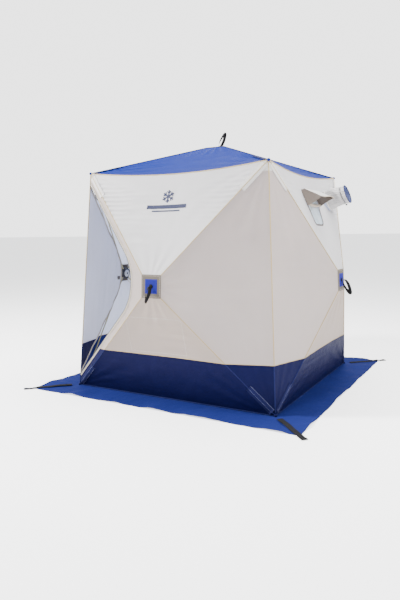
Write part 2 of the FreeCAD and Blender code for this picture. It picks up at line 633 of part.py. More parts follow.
def build_door():
    seam_plane = PANELS[("front", "left")]
    flap = door_outline("door_flap_body", "door_gap", "door_edge", "Dims.fabric")
    swing = Placement(Vector(), Rotation(Vector(1, 0, 0), -DOOR_OPEN_ANGLE))
    node("door_flap", flap, seam_plane.place.multiply(swing))
    slider = add("Part::Box", "slider_block", Length="Dims.slider_length", Width="Dims.slider_width",
                 Height="Dims.slider_height")
    pull = add("Part::Box", "slider_pull", Length="Dims.pull_length", Width="Dims.pull_width",
               Height="Dims.pull_thick")
    pull.Placement.Base = Vector(D["slider_length"], (D["slider_width"] - D["pull_width"]) / 2,
                                 D["slider_height"] - D["pull_thick"])
    lift = D["fabric"] / 2 + D["slider_lift"]
    start = Vector(DOORWAY.start_x, 0, 0)
    along = Rotation(Vector(0, 0, 1), degrees(DOORWAY.upper_angle))
    corner = start + along.multVec(Vector(D["slider_start"], -D["slider_width"] / 2, lift))
    group("door_zip_slider", [slider, pull], seam_plane.place.multiply(Placement(corner, along)))


def build_window():
    plane = PANELS[("right", "top")]
    narrow = (D["window_top_half"] - D["window_bottom_half"]) / (D["window_bottom"] - D["window_top"])
    film_half = D["window_top_half"] - narrow * (D["film_top"] - D["window_top"])
    add_cell("film_top_half", film_half, "half the film's width at its top, worked out")
    film = add("Part::Wedge", "film", Xmin="Dims.window_middle - Dims.film_top_half",
               Xmax="Dims.window_middle + Dims.film_top_half",
               X2min="Dims.window_middle - Dims.window_bottom_half",
               X2max="Dims.window_middle + Dims.window_bottom_half", Ymin="Dims.film_top",
               Ymax="Dims.window_bottom",
               Zmin="-Dims.film_thick / 2", Zmax="Dims.film_thick / 2", Z2min="-Dims.film_thick / 2",
               Z2max="Dims.film_thick / 2")
    node("window_film", film, plane.place)
    visor = add("Part::Wedge", "visor", Xmin="-Dims.window_top_half", Xmax="Dims.window_top_half",
                X2min="-Dims.visor_tip_half", X2max="Dims.visor_tip_half", Ymin="Dims.visor_gap",
                Ymax="Dims.visor_depth", Zmin="-Dims.fabric / 2", Zmax="Dims.fabric / 2",
                Z2min="-Dims.fabric / 2",
                Z2max="Dims.fabric / 2")
    hinge = Placement(Vector(D["window_middle"], D["window_top"], D["visor_lift"]),
                      Rotation(Vector(1, 0, 0), D["visor_angle"]))
    node("window_visor", visor, plane.place.multiply(hinge))


def build_vent():
    plane = PANELS[("right", "top")]
    sleeve = tube("sleeve", "Dims.sleeve_radius", "Dims.sleeve_radius - Dims.sleeve_wall",
                  "Dims.sleeve_length + Dims.fabric / 2")
    place = Placement(Vector(D["sleeve_at"], D["sleeve_drop"], -D["fabric"] / 2), Rotation())
    node("vent_sleeve", sleeve, plane.place.multiply(place))
    barrel = tube("lock_barrel", "Dims.lock_radius", "Dims.lock_bore", "Dims.lock_length")
    below = D["sleeve_radius"] + D["lock_gap"] + D["lock_radius"]
    spot = Vector(D["sleeve_at"] - D["lock_length"] / 2, D["sleeve_drop"] + below,
                  D["sleeve_length"] - D["lock_inset"])
    node("sleeve_cord_lock", along_x(barrel, 0), plane.place.multiply(Placement(spot, Rotation())))


# ---- build, check and write -------------------------------------------------------------------------

def check_and_write():
    doc.recompute()
    for item in doc.Objects:
        if "Invalid" in item.State or "Error" in item.State:
            raise RuntimeError("%s did not build: %s" % (item.Label, item.State))
    os.makedirs("parts", exist_ok=True)
    for label, item in nodes.items():
        shape = item.Shape
        if shape.isNull() or not shape.isValid() or not shape.Solids:
            raise RuntimeError("%s has no valid solid" % label)
    for label, item in nodes.items():
        item.Shape.exportStep("parts/%s.step" % label)


build_panels()
build_faces()
build_shell()
build_door()
build_window()
build_vent()
check_and_write()
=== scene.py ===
import json
from math import atan2, cos, exp, pi, radians, sin, sqrt, tan

import bmesh
import bpy
from mathutils import Matrix, Vector
from mathutils.noise import noise

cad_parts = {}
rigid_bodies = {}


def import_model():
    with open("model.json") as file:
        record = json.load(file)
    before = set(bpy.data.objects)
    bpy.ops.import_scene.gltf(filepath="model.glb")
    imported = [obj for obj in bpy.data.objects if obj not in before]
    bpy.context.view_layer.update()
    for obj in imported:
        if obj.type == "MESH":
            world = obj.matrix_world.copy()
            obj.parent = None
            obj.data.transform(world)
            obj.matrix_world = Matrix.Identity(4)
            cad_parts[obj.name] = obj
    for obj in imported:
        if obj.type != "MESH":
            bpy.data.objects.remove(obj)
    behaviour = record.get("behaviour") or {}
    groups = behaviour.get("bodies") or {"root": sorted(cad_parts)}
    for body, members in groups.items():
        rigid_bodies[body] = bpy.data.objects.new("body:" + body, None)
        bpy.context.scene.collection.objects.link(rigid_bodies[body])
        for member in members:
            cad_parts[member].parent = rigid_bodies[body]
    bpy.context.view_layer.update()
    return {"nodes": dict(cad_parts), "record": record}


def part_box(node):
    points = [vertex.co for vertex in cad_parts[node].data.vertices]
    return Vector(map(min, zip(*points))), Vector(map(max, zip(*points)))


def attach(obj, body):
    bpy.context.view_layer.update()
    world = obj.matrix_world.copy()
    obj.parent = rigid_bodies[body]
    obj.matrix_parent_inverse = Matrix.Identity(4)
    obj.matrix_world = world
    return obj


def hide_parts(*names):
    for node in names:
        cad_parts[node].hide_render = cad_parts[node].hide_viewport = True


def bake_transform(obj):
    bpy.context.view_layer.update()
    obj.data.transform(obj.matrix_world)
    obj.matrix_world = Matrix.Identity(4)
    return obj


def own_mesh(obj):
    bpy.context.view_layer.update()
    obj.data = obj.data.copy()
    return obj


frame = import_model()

UP = Vector((0, 0, 1))
TURN = 2 * pi

# ---- sizes, in metres ----

HUB_RISE = 0.885            # up the wall from its hem to its hub
PATCH_HALF = 0.0825         # half the side of a hub's patch
PATCH_HEM = 0.004           # how far the patch cloth reaches past that
PATCH_CENTRE_HALF = 0.053   # half the side of the blue square on it
BAND_TOP = 0.360            # height of the navy band round the foot of the walls
EAVE_SAG = 0.050            # how far an eave dips between its corners
EAVE_PULL = 0.012           # how far an eave is drawn in between its corners
RIDGE_PIPE = 0.0032         # radius of the piping on the ridges
SEAM_PIPE = 0.0038          # radius of the piping on the corner seams, eaves and hems
BAND_PIPE = 0.0022          # radius of the piping along the top of the navy band
POCKET_START, POCKET_LENGTH, POCKET_WIDTH = 0.036, 0.27, 0.052
CORNER_PATCH = 0.075        # how far a corner patch reaches down its seam
DOOR_RADIUS, DOOR_RIDGE_GAP = 0.330, 0.062
DOOR_EDGE, DOOR_GAP = 0.007, 0.004
WINDOW_MIDDLE, WINDOW_TOP, WINDOW_BOTTOM = 0.845, 0.175, 0.465
WINDOW_TOP_HALF, WINDOW_BOTTOM_HALF = 0.180, 0.105
SLEEVE_AT, SLEEVE_DROP, SLEEVE_RADIUS, SLEEVE_LENGTH = 0.450, 0.245, 0.085, 0.175
CORD_AT = 0.78              # share of the sleeve's length at which its drawcord lies
VISOR_DEPTH, VISOR_TIP_HALF, VISOR_LIFT, VISOR_ANGLE = 0.165, 0.150, 0.006, radians(44)
SKIRT_HALF, SKIRT_INNER = 1.175, 0.888
STRAP_WIDTH, STRAP_THICK, STRAP_ROOT = 0.045, 0.0025, 0.950
LOOP_WIDTH, LOOP_THICK, LOOP_LENGTH, LOOP_SPAN = 0.025, 0.0025, 0.125, 0.046

# folds of the cloth: height first, then what sets their size
PILLOW = 0.014              # how far a panel is drawn in between its poles
SWELL, RIPPLE = (0.0050, 2.6), (0.0016, 9.0)    # soft unevenness: height and fineness
HUB_RAYS = (0.0060, 0.15, 17)       # height, reach from the patch, number of waves in a radian
CORNER_PLEATS = (0.0055, 0.34, 26)  # the same, from a corner
EAVE_CREASES = (0.0048, 0.0062)     # height and spacing of the level creases under an eave
CREASE_LEAN = 0.1           # how fast those creases draw away from the ridge
LEVEL_WRINKLE, UPRIGHT_WRINKLE = 0.0060, 0.0026

# ---- the frame: faces, panels and poles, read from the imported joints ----

JOINTS = {joint["name"]: joint for joint in frame["record"]["behaviour"]["joints"]}
WALLS = ["front", "right", "back", "left"]
WALL_SIDES, ROOF_SIDES = ["top", "left", "bottom", "right"], ["back", "left", "front", "right"]


class Face:
    """A wall or the roof: its corners, its hub and its own directions."""

    def __init__(self, name):
        self.name = name
        self.sides = ROOF_SIDES if name == "roof" else WALL_SIDES
        self.corners = [Vector(JOINTS["%s_panel_%s_fold" % (name, side)]["pos_m"]) for side in self.sides]
        pop = JOINTS[name + "_hub_pop"]
        self.out = Vector(pop["axis"])
        self.across = (self.corners[0] - self.corners[1]).normalized()
        self.up = self.out.cross(self.across)
        foot = (self.corners[2] + self.corners[3]) / 2
        middle = (self.corners[0] + self.corners[2]) / 2 if name == "roof" else foot + self.up * HUB_RISE
        self.hub = middle + self.out * (-pop["range_m"][0] / 2)
        quarters = ((1, 1), (-1, 1), (-1, -1), (1, -1))
        self.patch = [self.at(a * PATCH_HALF, b * PATCH_HALF) for a, b in quarters]

    def at(self, a, b, lift=0.0):
        """A point a across and b up from the hub, on the plane of its patch."""
        return self.hub + self.across * a + self.up * b + self.out * lift


FACES = {name: Face(name) for name in WALLS + ["roof"]}


class Panel:
    """One fabric panel: s runs along its sewn edge, t from that edge to the hub's patch."""

    def __init__(self, face, index):
        self.face, self.index, self.side = face, index, face.sides[index]
        self.body = "%s_panel_%s" % (face.name, self.side)
        self.a, self.b = face.corners[index], face.corners[(index + 1) % 4]
        self.pa, self.pb = face.patch[index], face.patch[(index + 1) % 4]
        self.length = (self.b - self.a).length
        self.along = (self.b - self.a).normalized()
        slant = (self.pa + self.pb) / 2 - self.a
        slant -= self.along * slant.dot(self.along)
        self.reach = slant.length
        self.inward = slant.normalized()
        self.out = self.along.cross(self.inward)
        self.is_eave = face.name == "roof" or self.side == "top"

    def edge(self, s):
        point = self.a.lerp(self.b, s)
        if self.is_eave:
            dip = 4 * s * (1 - s)
            middle = Vector((0, 0, point.z))
            point = point - UP * (EAVE_SAG * dip) + (middle - point).normalized() * (EAVE_PULL * dip)
        return point

    def flat(self, s, t):
        return self.edge(s).lerp(self.pa.lerp(self.pb, s), t)

    def skin(self, s, t):
        """The cloth's surface, with its folds."""
        return self.flat(s, t) + self.out * self.fold(s, t)

    def at(self, x, y, lift=0.0):
        """A point x along the sewn edge and y in from it, on the panel's own plane."""
        return self.a + self.along * x + self.inward * y + self.out * lift

    def place(self, x, y, lift=0.0):
        """The surface point under x, y, with the panel's folds."""
        near, far = self.ridge_span(y)
        s = min(max((x - near) / max(far - near, 1e-6), 0.0), 1.0)
        t = min(max(y / self.reach, 0.0), 1.0)
        sag = (self.flat(s, t) - self.a).dot(self.out)
        return self.at(x, y, lift + self.fold(s, t) + sag)

    def ridge_span(self, y):
        """Where the panel starts and ends along its edge, y in from it."""
        pa, pb = (self.pa - self.a).dot(self.along), (self.pb - self.a).dot(self.along)
        share = y / self.reach
        return pa * share, self.length + (pb - self.length) * share

    def fold(self, s, t):
        """How far the cloth stands off its flat plane: drawn in, with pleats from hub and corners."""
        hold = sin(pi * s) * sin(pi * min(max(t, 0.0), 1.0))
        if hold <= 0:
            return 0.0
        spot = self.flat(s, t)
        seed = Vector((self.index * 3.1, len(self.body) * 1.7, 0))
        total = self.wrinkle(spot)
        for height, fineness in (SWELL, RIPPLE):
            total += height * noise(spot * fineness + seed)
        from_hub = spot - self.face.hub
        bearing = atan2(from_hub.dot(self.along), -from_hub.dot(self.inward))
        far = max(from_hub.length - PATCH_HALF, 0.0)
        height, run, waves = HUB_RAYS
        total += height * exp(-far / run) * sin(bearing * waves + 2 * noise(seed + spot))
        height, run, waves = CORNER_PLEATS
        for corner in (self.a, self.b):
            away = spot - corner
            bearing = atan2(away.dot(self.inward), abs(away.dot(self.along)))
            wave = sin(bearing * waves + 3 * noise(spot * 1.5 + seed))
            total += height * exp(-away.length / run) * wave
        total = -PILLOW * hold + min(1.0, 6 * min(s, 1 - s, t, 1 - t)) * total
        if self.is_eave:
            height, spacing = EAVE_CREASES
            level = sin((spot - self.a).dot(self.inward) / spacing + 2.6 * noise(spot * 3 + seed))
            reach = 0.10 + 0.10 * noise(spot * 8 + seed)
            near_ridge = exp(-max(min(s, 1 - s) - CREASE_LEAN * t, 0.0) / max(reach, 0.03))
            total += height * level * near_ridge * exp(-((t - 0.26) / 0.20) ** 2)
        return total

    def wrinkle(self, spot):
        """Fine level wrinkles that come and go over the cloth, with a few long upright ones."""
        across = spot.dot(self.face.across)
        level = noise(Vector((across * 2.2, spot.z * 26, self.index + 4.0)))
        upright = noise(Vector((across * 17, spot.z * 2.0, self.index + 9.0)))
        patchy = max(noise(spot * 2.1 + Vector((3, 5, 7))) + 0.25, 0.0)
        return LEVEL_WRINKLE * level * patchy + UPRIGHT_WRINKLE * upright * (0.5 - patchy)

    def blend(self, piece, slot=None):
        """Bake a piece's placement into its mesh."""
        foot = self.a.lerp(self.b, 0.5)
        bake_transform(piece)


PANELS = {}
for face in FACES.values():
    for index in range(4):
        panel = Panel(face, index)
        PANELS[panel.body] = panel


def fasten(piece, body, node=None):
    """Ride a piece on a body, in place of its CAD node, which is hidden."""
    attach(piece, body)
    if node:
        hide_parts(node)


# ---- materials ----

WEAVE_SCALE = 0.31416 / 0.0012 / 2      # threads 1.2 mm apart
STITCH = 0.006                          # from one stitch to the next
RIB = 0.0016                            # between the ribs of a tape


def new_material(name):
    material = bpy.data.materials.new(name)
    material.use_nodes = True
    return material, material.node_tree, material.node_tree.nodes["Principled BSDF"]


def feed(tree, item, inputs):
    """Fill a node's inputs: an output is linked, anything else is set on the socket."""
    for key, value in dict(inputs).items():
        if hasattr(value, "is_output"):
            tree.links.new(value, item.inputs[key])
        else:
            item.inputs[key].default_value = value


def add_node(tree, kind, inputs=(), **settings):
    item = tree.nodes.new("ShaderNode" + kind)
    for key, value in settings.items():
        setattr(item, key, value)
    feed(tree, item, inputs)
    return item


def maths(tree, operation, *values):
    return add_node(tree, "Math", dict(enumerate(values)), operation=operation).outputs[0]


def speckle(tree, coords, scale, detail, **more):
    inputs = {"Vector": coords, "Scale": scale, "Detail": detail, **more}
    return add_node(tree, "TexNoise", inputs).outputs["Fac"]


def bump(tree, height, strength, distance, **more):
    inputs = {"Height": height, "Strength": strength, "Distance": distance, **more}
    return add_node(tree, "Bump", inputs).outputs["Normal"]


def ramp(tree, factor, low, high):
    item = add_node(tree, "ValToRGB", {"Fac": factor})
    for element, position, colour in zip(item.color_ramp.elements, (0.3, 0.7), (low, high)):
        element.position, element.color = position, (*colour, 1)
    return item.outputs["Color"]


def vary(tree, factor, colour, low, high):
    """A colour that runs between a darker and a lighter share of itself."""
    ends = [tuple(min(1.0, channel * share) for channel in colour) for share in (low, high)]
    return ramp(tree, factor, *ends)


def mix_shaders(tree, share, first, second):
    mix = add_node(tree, "MixShader", {0: share, 1: first.outputs[0], 2: second.outputs[0]})
    tree.links.new(mix.outputs[0], tree.nodes["Material Output"].inputs["Surface"])


def cloth(name, colour, inside, glow=0.25, rough=0.62, shine=0.3, crease=0.35):
    """Coated cloth: weave and crinkle in the bump, soft mottling, light passing through, and a separate
    inside colour, which for the white cloths is painted light from the blue roof and for the visor and
    gussets painted shade.
    """
    material, tree, shader = new_material(name)
    coords = add_node(tree, "TexCoord").outputs["Object"]
    mottle = speckle(tree, coords, 2.2, 5.0, Roughness=0.6)
    both = add_node(tree, "Mix", {0: add_node(tree, "NewGeometry").outputs["Backfacing"],
                                  6: vary(tree, mottle, colour, 0.93, 1.04),
                                  7: vary(tree, mottle, inside, 0.92, 1.05)}, data_type="RGBA")
    soft = bump(tree, speckle(tree, coords, 26.0, 6.0, Roughness=0.65), crease, 0.0035)
    threads = [add_node(tree, "TexWave", {"Vector": coords, "Scale": WEAVE_SCALE, "Distortion": 0.6,
                                          "Detail": 1.0},
                        wave_type="BANDS", bands_direction=axis).outputs["Fac"] for axis in "XYZ"]
    weave = maths(tree, "ADD", maths(tree, "ADD", threads[0], threads[1]), threads[2])
    feed(tree, shader, {"Base Color": both.outputs[2], "Normal": bump(tree, weave, 0.18, 0.0003, Normal=soft),
                        "Roughness": rough, "Specular IOR Level": shine})
    through = add_node(tree, "BsdfTranslucent", {"Color": (*inside, 1), "Normal": soft})
    mix_shaders(tree, glow, shader, through)
    return material


def stitched(name, colour, thread, rows, width, ribs=0.0):
    """Tape or patch cloth with dashed stitching; UV is metres along and across, rows are across."""
    material, tree, shader = new_material(name)
    uv = add_node(tree, "TexCoord").outputs["UV"]
    along, across = add_node(tree, "SeparateXYZ", {0: uv}).outputs[:2]
    on = maths(tree, "GREATER_THAN", maths(tree, "PINGPONG", along, STITCH), STITCH * 0.38)
    lines = maths(tree, "COMPARE", across, rows[0], width)
    for row in rows[1:]:
        lines = maths(tree, "MAXIMUM", lines, maths(tree, "COMPARE", across, row, width))
    seam = maths(tree, "MULTIPLY", lines, on)
    fleck = speckle(tree, uv, 240.0, 3.0)
    mix = add_node(tree, "Mix", {0: seam, 6: vary(tree, fleck, colour, 0.80, 1.18), 7: (*thread, 1)},
                   data_type="RGBA")
    rib = maths(tree, "MULTIPLY", maths(tree, "PINGPONG", across, RIB), 500.0 * ribs)
    height = maths(tree, "ADD", maths(tree, "ADD", rib, fleck), seam)
    feed(tree, shader, {"Base Color": mix.outputs[2], "Normal": bump(tree, height, 0.5, 0.0006),
                        "Roughness": 0.8, "Specular IOR Level": 0.15})
    return material


def solid(name, colour, rough=0.5, metallic=0.0, grain=60.0, depth=0.0002, coat=0.0, streak=(1, 1, 1)):
    """Moulded plastic, rod or metal: fine grain in colour, roughness and bump."""
    material, tree, shader = new_material(name)
    coords = add_node(tree, "TexCoord").outputs["Object"]
    scaled = add_node(tree, "VectorMath", {0: coords, 1: streak}, operation="MULTIPLY").outputs[0]
    grainy = speckle(tree, scaled, grain, 4.0)
    smooth, coarse = (max(rough - 0.08, 0.05),) * 3, (min(rough + 0.08, 1.0),) * 3
    feed(tree, shader, {"Base Color": vary(tree, grainy, colour, 0.82, 1.15),
                        "Roughness": ramp(tree, grainy, smooth, coarse),
                        "Normal": bump(tree, grainy, 0.4, depth), "Metallic": metallic, "Coat Weight": coat})
    return material


# The lilac inside colour is painted light: the blue tint that light through the blue roof gives the white
# cloth seen from inside. It also colours the light passing through that cloth.
WHITE, ROOF_LIGHT_LILAC = (0.58, 0.56, 0.54), (0.58, 0.61, 0.72)
# Darker copies of the white cloth: painted shade for the side panels, and on the next line for the bottom
# panels, which face away from the light above.
WHITE_SIDE_SHADE = (0.430, 0.355, 0.300)
WHITE_LOWER_SHADE = (0.385, 0.300, 0.220)
NAVY, NAVY_IN = (0.0030, 0.0038, 0.036), (0.010, 0.016, 0.10)
BLUE, BLUE_IN = (0.0018, 0.011, 0.13), (0.03, 0.10, 0.50)
SKIRT = (0.0040, 0.0085, 0.135)
SHADE_BROWN = (0.13, 0.105, 0.090)

MATS = {
    "white": cloth("off_white_cloth", WHITE, ROOF_LIGHT_LILAC),
    # The next two cloths are darker copies of the white cloth: painted shade, for the side panels and for the
    # bottom panels, which face away from the light above.
    "beige": cloth("warm_grey_cloth", WHITE_SIDE_SHADE, ROOF_LIGHT_LILAC),
    "lower_shaded_white": cloth("sand_cloth", WHITE_LOWER_SHADE, ROOF_LIGHT_LILAC),
    "flap": cloth("door_flap_cloth", (0.66, 0.65, 0.68), (0.66, 0.67, 0.74), glow=0.42),
    # The sleeve's grey is the white cloth darkened: painted shade for the shadows on the sleeve.
    "sleeve": cloth("sleeve_cloth", (0.47, 0.455, 0.45), (0.10, 0.12, 0.25), glow=0.12, crease=0.7),
    "visor": cloth("visor_cloth", WHITE, SHADE_BROWN, glow=0.05, crease=0.6),
    # The gussets' dark brown is painted shade: the shadow under the visor, on both sides of the cloth.
    "gusset": cloth("gusset_cloth", (0.20, 0.165, 0.140), SHADE_BROWN, glow=0.08, crease=0.7),
    "navy": cloth("navy_cloth", NAVY, NAVY_IN, glow=0.03, rough=0.55, shine=0.07, crease=0.8),
    "blue": cloth("roof_blue_cloth", BLUE, BLUE_IN, glow=0.08, rough=0.5, shine=0.12, crease=0.5),
    "skirt": cloth("skirt_blue_cloth", SKIRT, NAVY_IN, glow=0.02, rough=0.62, shine=0.04, crease=0.9),
    "piping": stitched("beige_piping", (0.40, 0.31, 0.16), (0.50, 0.42, 0.26), (0.0,), 0.001, ribs=0.4),
    "hem_pipe": stitched("navy_piping", (0.008, 0.012, 0.07), (0.02, 0.03, 0.11), (0.0,), 0.001, ribs=0.4),
    "patch": stitched("grey_patch", (0.105, 0.090, 0.075), (0.30, 0.27, 0.23), (0.006, 0.011), 0.0010),
    "blue_patch": stitched("blue_patch", (0.008, 0.009, 0.17), (0.05, 0.06, 0.30), (0.004,), 0.0008),
    "webbing": stitched("black_webbing", (0.006, 0.006, 0.007), (0.012, 0.012, 0.014), (0.004, 0.021), 0.0010,
                        ribs=1.0),
    "pocket": stitched("white_pocket", (0.52, 0.50, 0.48), (0.34, 0.31, 0.27), (0.003,), 0.0008),
    "navy_pocket": stitched("navy_pocket", (0.0065, 0.0085, 0.052), (0.22, 0.24, 0.34), (0.003,), 0.0008),
    "tape": stitched("zip_tape", (0.38, 0.34, 0.28), (0.22, 0.19, 0.15), (0.004, 0.016), 0.0010, ribs=0.6),
    "rim": stitched("grey_binding", (0.12, 0.105, 0.10), (0.25, 0.23, 0.21), (0.004,), 0.0010, ribs=0.5),
    "roll": stitched("rolled_cover_cloth", (0.40, 0.34, 0.28), (0.25, 0.20, 0.16), (0.02,), 0.0012),
    "print": solid("navy_print", (0.006, 0.010, 0.045), rough=0.8, grain=300.0),
    "rod": solid("olive_fibreglass", (0.30, 0.27, 0.13), rough=0.35, grain=18.0, streak=(30, 30, 2),
                 coat=0.3),
    "hub": solid("black_nylon", (0.03, 0.03, 0.033), rough=0.5, grain=220.0, depth=0.0003),
    "cover": solid("light_grey_nylon", (0.55, 0.56, 0.57), rough=0.45, grain=220.0, depth=0.0003),
    "metal": solid("dark_zinc", (0.10, 0.10, 0.11), rough=0.32, metallic=0.9, grain=300.0),
    "cord": solid("braided_cord", (0.05, 0.05, 0.055), rough=0.8, grain=500.0, depth=0.0006),
}

# ---- mesh helpers ----

def make_object(name, vertices, faces, material, uvs=None):
    mesh = bpy.data.meshes.new(name)
    mesh.from_pydata([tuple(v) for v in vertices], [], faces)
    mesh.validate()
    if uvs:
        layer = mesh.uv_layers.new(name="UVMap")
        for loop in mesh.loops:
            layer.data[loop.index].uv = uvs[loop.vertex_index]
    mesh.materials.append(MATS[material])
    mesh.polygons.foreach_set("use_smooth", [True] * len(mesh.polygons))
    mesh.update()
    piece = bpy.data.objects.new(name, mesh)
    bpy.context.scene.collection.objects.link(piece)
    return piece


def grid(name, columns, rows, place, material, uv=None, closed=False, keep=None):
    """A sheet of columns by rows cells; place gives the point for u and v from 0 to 1."""
    spots = [(i / columns, j / rows) for j in range(rows + 1) for i in range(columns + 1)]
    points = [place(u, v) for u, v in spots]
    uvs = [uv(u, v) for u, v in spots] if uv else spots
    wide = columns + 1
    faces = [(j * wide + i, j * wide + i + 1, (j + 1) * wide + i + 1, (j + 1) * wide + i)
             for j in range(rows) for i in range(columns)
             if keep is None or keep((i + 0.5) / columns, (j + 0.5) / rows)]
    piece = make_object(name, points, faces, material, uvs)
    if keep is not None or closed:
        tidy = bmesh.new()
        tidy.from_mesh(piece.data)
        if closed:
            bmesh.ops.remove_doubles(tidy, verts=tidy.verts, dist=1e-6)
        bmesh.ops.delete(tidy, geom=[v for v in tidy.verts if not v.link_faces], context="VERTS")
        tidy.to_mesh(piece.data)
        tidy.free()
    return piece


def lengths(path):
    total = [0.0]
    for before, after in zip(path, path[1:]):
        total.append(total[-1] + (after - before).length)
    return total


def tangent(path, index):
    return (path[min(index + 1, len(path) - 1)] - path[max(index - 1, 0)]).normalized()


def tube(name, points, uvs, count, material, turn):
    """Skin a row of rings of count points each; turn is 1 or -1 for the way the rings run."""
    faces = [(start + k, start + (k + 1) % count, start + (k + 1) % count + count, start + k + count)
             for start in range(0, len(points) - count, count) for k in range(count)]
    first, last = tuple(range(count)), tuple(range(len(points) - count, len(points)))
    return make_object(name, points, faces + [first[::turn], last[::-turn]], material, uvs)


# a tape's cross-section: across, as a share of its width, and up, as a share of its thickness
TAPE_SECTION = [(-0.5, 0), (-0.46, 0.5), (-0.25, 0.62), (0, 0.66),
                (0.25, 0.62), (0.46, 0.5), (0.5, 0), (0, -0.2)]


def tape(name, path, normals, width, thick, material, offset=0.0):
    """A flat strip with rounded edges laid along a path, its face towards the normal or normals."""
    run = lengths(path)
    points, uvs = [], []
    for index, spot in enumerate(path):
        normal = normals if isinstance(normals, Vector) else normals[index]
        side = normal.cross(tangent(path, index)).normalized()
        for across, lift in TAPE_SECTION:
            points.append(spot + side * (across * width + offset) + normal * (lift * thick))
            uvs.append((run[index], (across + 0.5) * width))
    return tube(name, points, uvs, len(TAPE_SECTION), material, 1)


def pipe(name, path, radius, material, sides=10, radii=None):
    """A round cord or piping along a path, closed at both ends."""
    run = lengths(path)
    points, uvs = [], []
    side = tangent(path, 0).orthogonal().normalized()
    for index, spot in enumerate(path):
        forward = tangent(path, index)
        side = (side - forward * side.dot(forward)).normalized()
        other = forward.cross(side)
        size = radii[index] if radii else radius
        for angle in (TURN * k / sides for k in range(sides)):
            points.append(circle(spot, side, other, size, angle))
            uvs.append((run[index], size * angle))
    return tube(name, points, uvs, sides, material, -1)


def joined(name, pieces):
    """Join mesh pieces into the first of them and give it a name."""
    bpy.ops.object.select_all(action="DESELECT")
    for piece in pieces:
        piece.select_set(True)
    bpy.context.view_layer.objects.active = pieces[0]
    bpy.ops.object.join()
    pieces[0].name = name
    return pieces[0]


def circle(centre, first, second, radius, angle):
    return centre + first * (radius * cos(angle)) + second * (radius * sin(angle))


def line(start, end, count):
    return [start.lerp(end, i / count) for i in range(count + 1)]


def keep_above(piece, floor):
    for vertex in piece.data.vertices:
        vertex.co.z = max(vertex.co.z, floor)


# ---- camera, light and floor ----

CAMERA_SPOT, CAMERA_LENS = (2.2964, -4.4225, 1.2871), 33.06
CAMERA_YAW, CAMERA_PITCH, CAMERA_ROLL = 0.516, -0.12, -0.01
SKY_LIGHT, SKY_SEEN = 0.85, 3.1         # what the sky gives the object, and what the camera sees of it
FLOOR_RADIUS, FLOOR_SIDES, FLOOR_GLOW = 400.0, 96, 1.5


def set_camera():
    yaw, pitch, roll = CAMERA_YAW, CAMERA_PITCH, CAMERA_ROLL
    forward = Vector((-sin(yaw) * cos(pitch), cos(yaw) * cos(pitch), sin(pitch)))
    right = Vector((cos(yaw), sin(yaw), 0))
    up = right.cross(forward)
    x_axis = right * cos(roll) + up * sin(roll)
    y_axis = up * cos(roll) - right * sin(roll)
    data = bpy.data.cameras.new("camera")
    data.lens, data.sensor_width, data.sensor_fit = CAMERA_LENS, 36.0, "AUTO"
    camera = bpy.data.objects.new("camera", data)
    turn = Matrix((x_axis, y_axis, -forward)).transposed().to_4x4()
    camera.matrix_world = Matrix.Translation(CAMERA_SPOT) @ turn
    bpy.context.scene.collection.objects.link(camera)
    bpy.context.scene.camera = camera


def area_light(name, spot, target, size, power):
    data = bpy.data.lights.new(name, "AREA")
    data.shape, data.size, data.energy = "DISK", size, power
    lamp = bpy.data.objects.new(name, data)
    lamp.location = spot
    lamp.rotation_euler = (Vector(target) - Vector(spot)).to_track_quat("-Z", "Y").to_euler()
    bpy.context.scene.collection.objects.link(lamp)


def set_stage():
    area_light("key", (-4.4, -3.2, 5.4), (0, 0, 1.0), 1.3, 1500)
    area_light("fill", (4.6, -0.4, 4.2), (0, 0, 1.0), 3.0, 420)
    area_light("top", (0.6, 1.2, 6.0), (0, 0, 1.2), 4.0, 560)
    world = bpy.data.worlds.new("world")
    world.use_nodes = True
    tree = world.node_tree
    lit = tree.nodes["Background"]
    feed(tree, lit, {"Color": (0.95, 0.97, 1.0, 1), "Strength": SKY_LIGHT})
    seen = add_node(tree, "Background", {"Color": (1, 1, 1, 1), "Strength": SKY_SEEN})
    direct = add_node(tree, "LightPath").outputs["Is Camera Ray"]
    mix = add_node(tree, "MixShader", {0: direct, 1: lit.outputs[0], 2: seen.outputs[0]})
    tree.links.new(mix.outputs[0], tree.nodes["World Output"].inputs["Surface"])
    bpy.context.scene.world = world
    points = [Vector((FLOOR_RADIUS * cos(angle), FLOOR_RADIUS * sin(angle), -0.0005))
              for angle in (TURN * k / FLOOR_SIDES for k in range(FLOOR_SIDES))]
    MATS["floor"] = solid("pale_floor", (0.82, 0.82, 0.82), rough=0.95, grain=900.0)
    tree = MATS["floor"].node_tree
    feed(tree, tree.nodes["Principled BSDF"], {"Emission Color": (1, 1, 1, 1),
                                               "Emission Strength": FLOOR_GLOW})
    floor = make_object("floor", points, [tuple(range(FLOOR_SIDES))], "floor")


# ---- walls and roof ----

PANEL_CELLS = 96
DOORWAY_PLEATS = (0.0016, 150, 0.22)    # height, waves along the edge, spread round its middle
ZIP_TAPE, ZIP_TEETH = 0.020, 0.0022     # the doorway tape's width and the radius of its teeth


# The top panels take the plain white cloth; the side and bottom panels take its darker copies, painted shade
# for their facing away from the light.
def upper_colour(panel):
    if panel.face.name == "roof":
        return "blue"
    return {"top": "white", "bottom": "lower_shaded_white"}.get(panel.side, "beige")


def colour_band(piece, low_material="navy"):
    """Cut a mesh level with the top of the navy band; what lies below gets the second material."""
    piece.data.materials.append(MATS[low_material])
    mesh = bmesh.new()
    mesh.from_mesh(piece.data)
    bmesh.ops.bisect_plane(mesh, geom=mesh.verts[:] + mesh.edges[:] + mesh.faces[:],
                           plane_co=(0, 0, BAND_TOP), plane_no=(0, 0, 1))
    for f in mesh.faces:
        f.material_index = 1 if f.calc_center_median().z < BAND_TOP else 0
    mesh.to_mesh(piece.data)
    mesh.free()


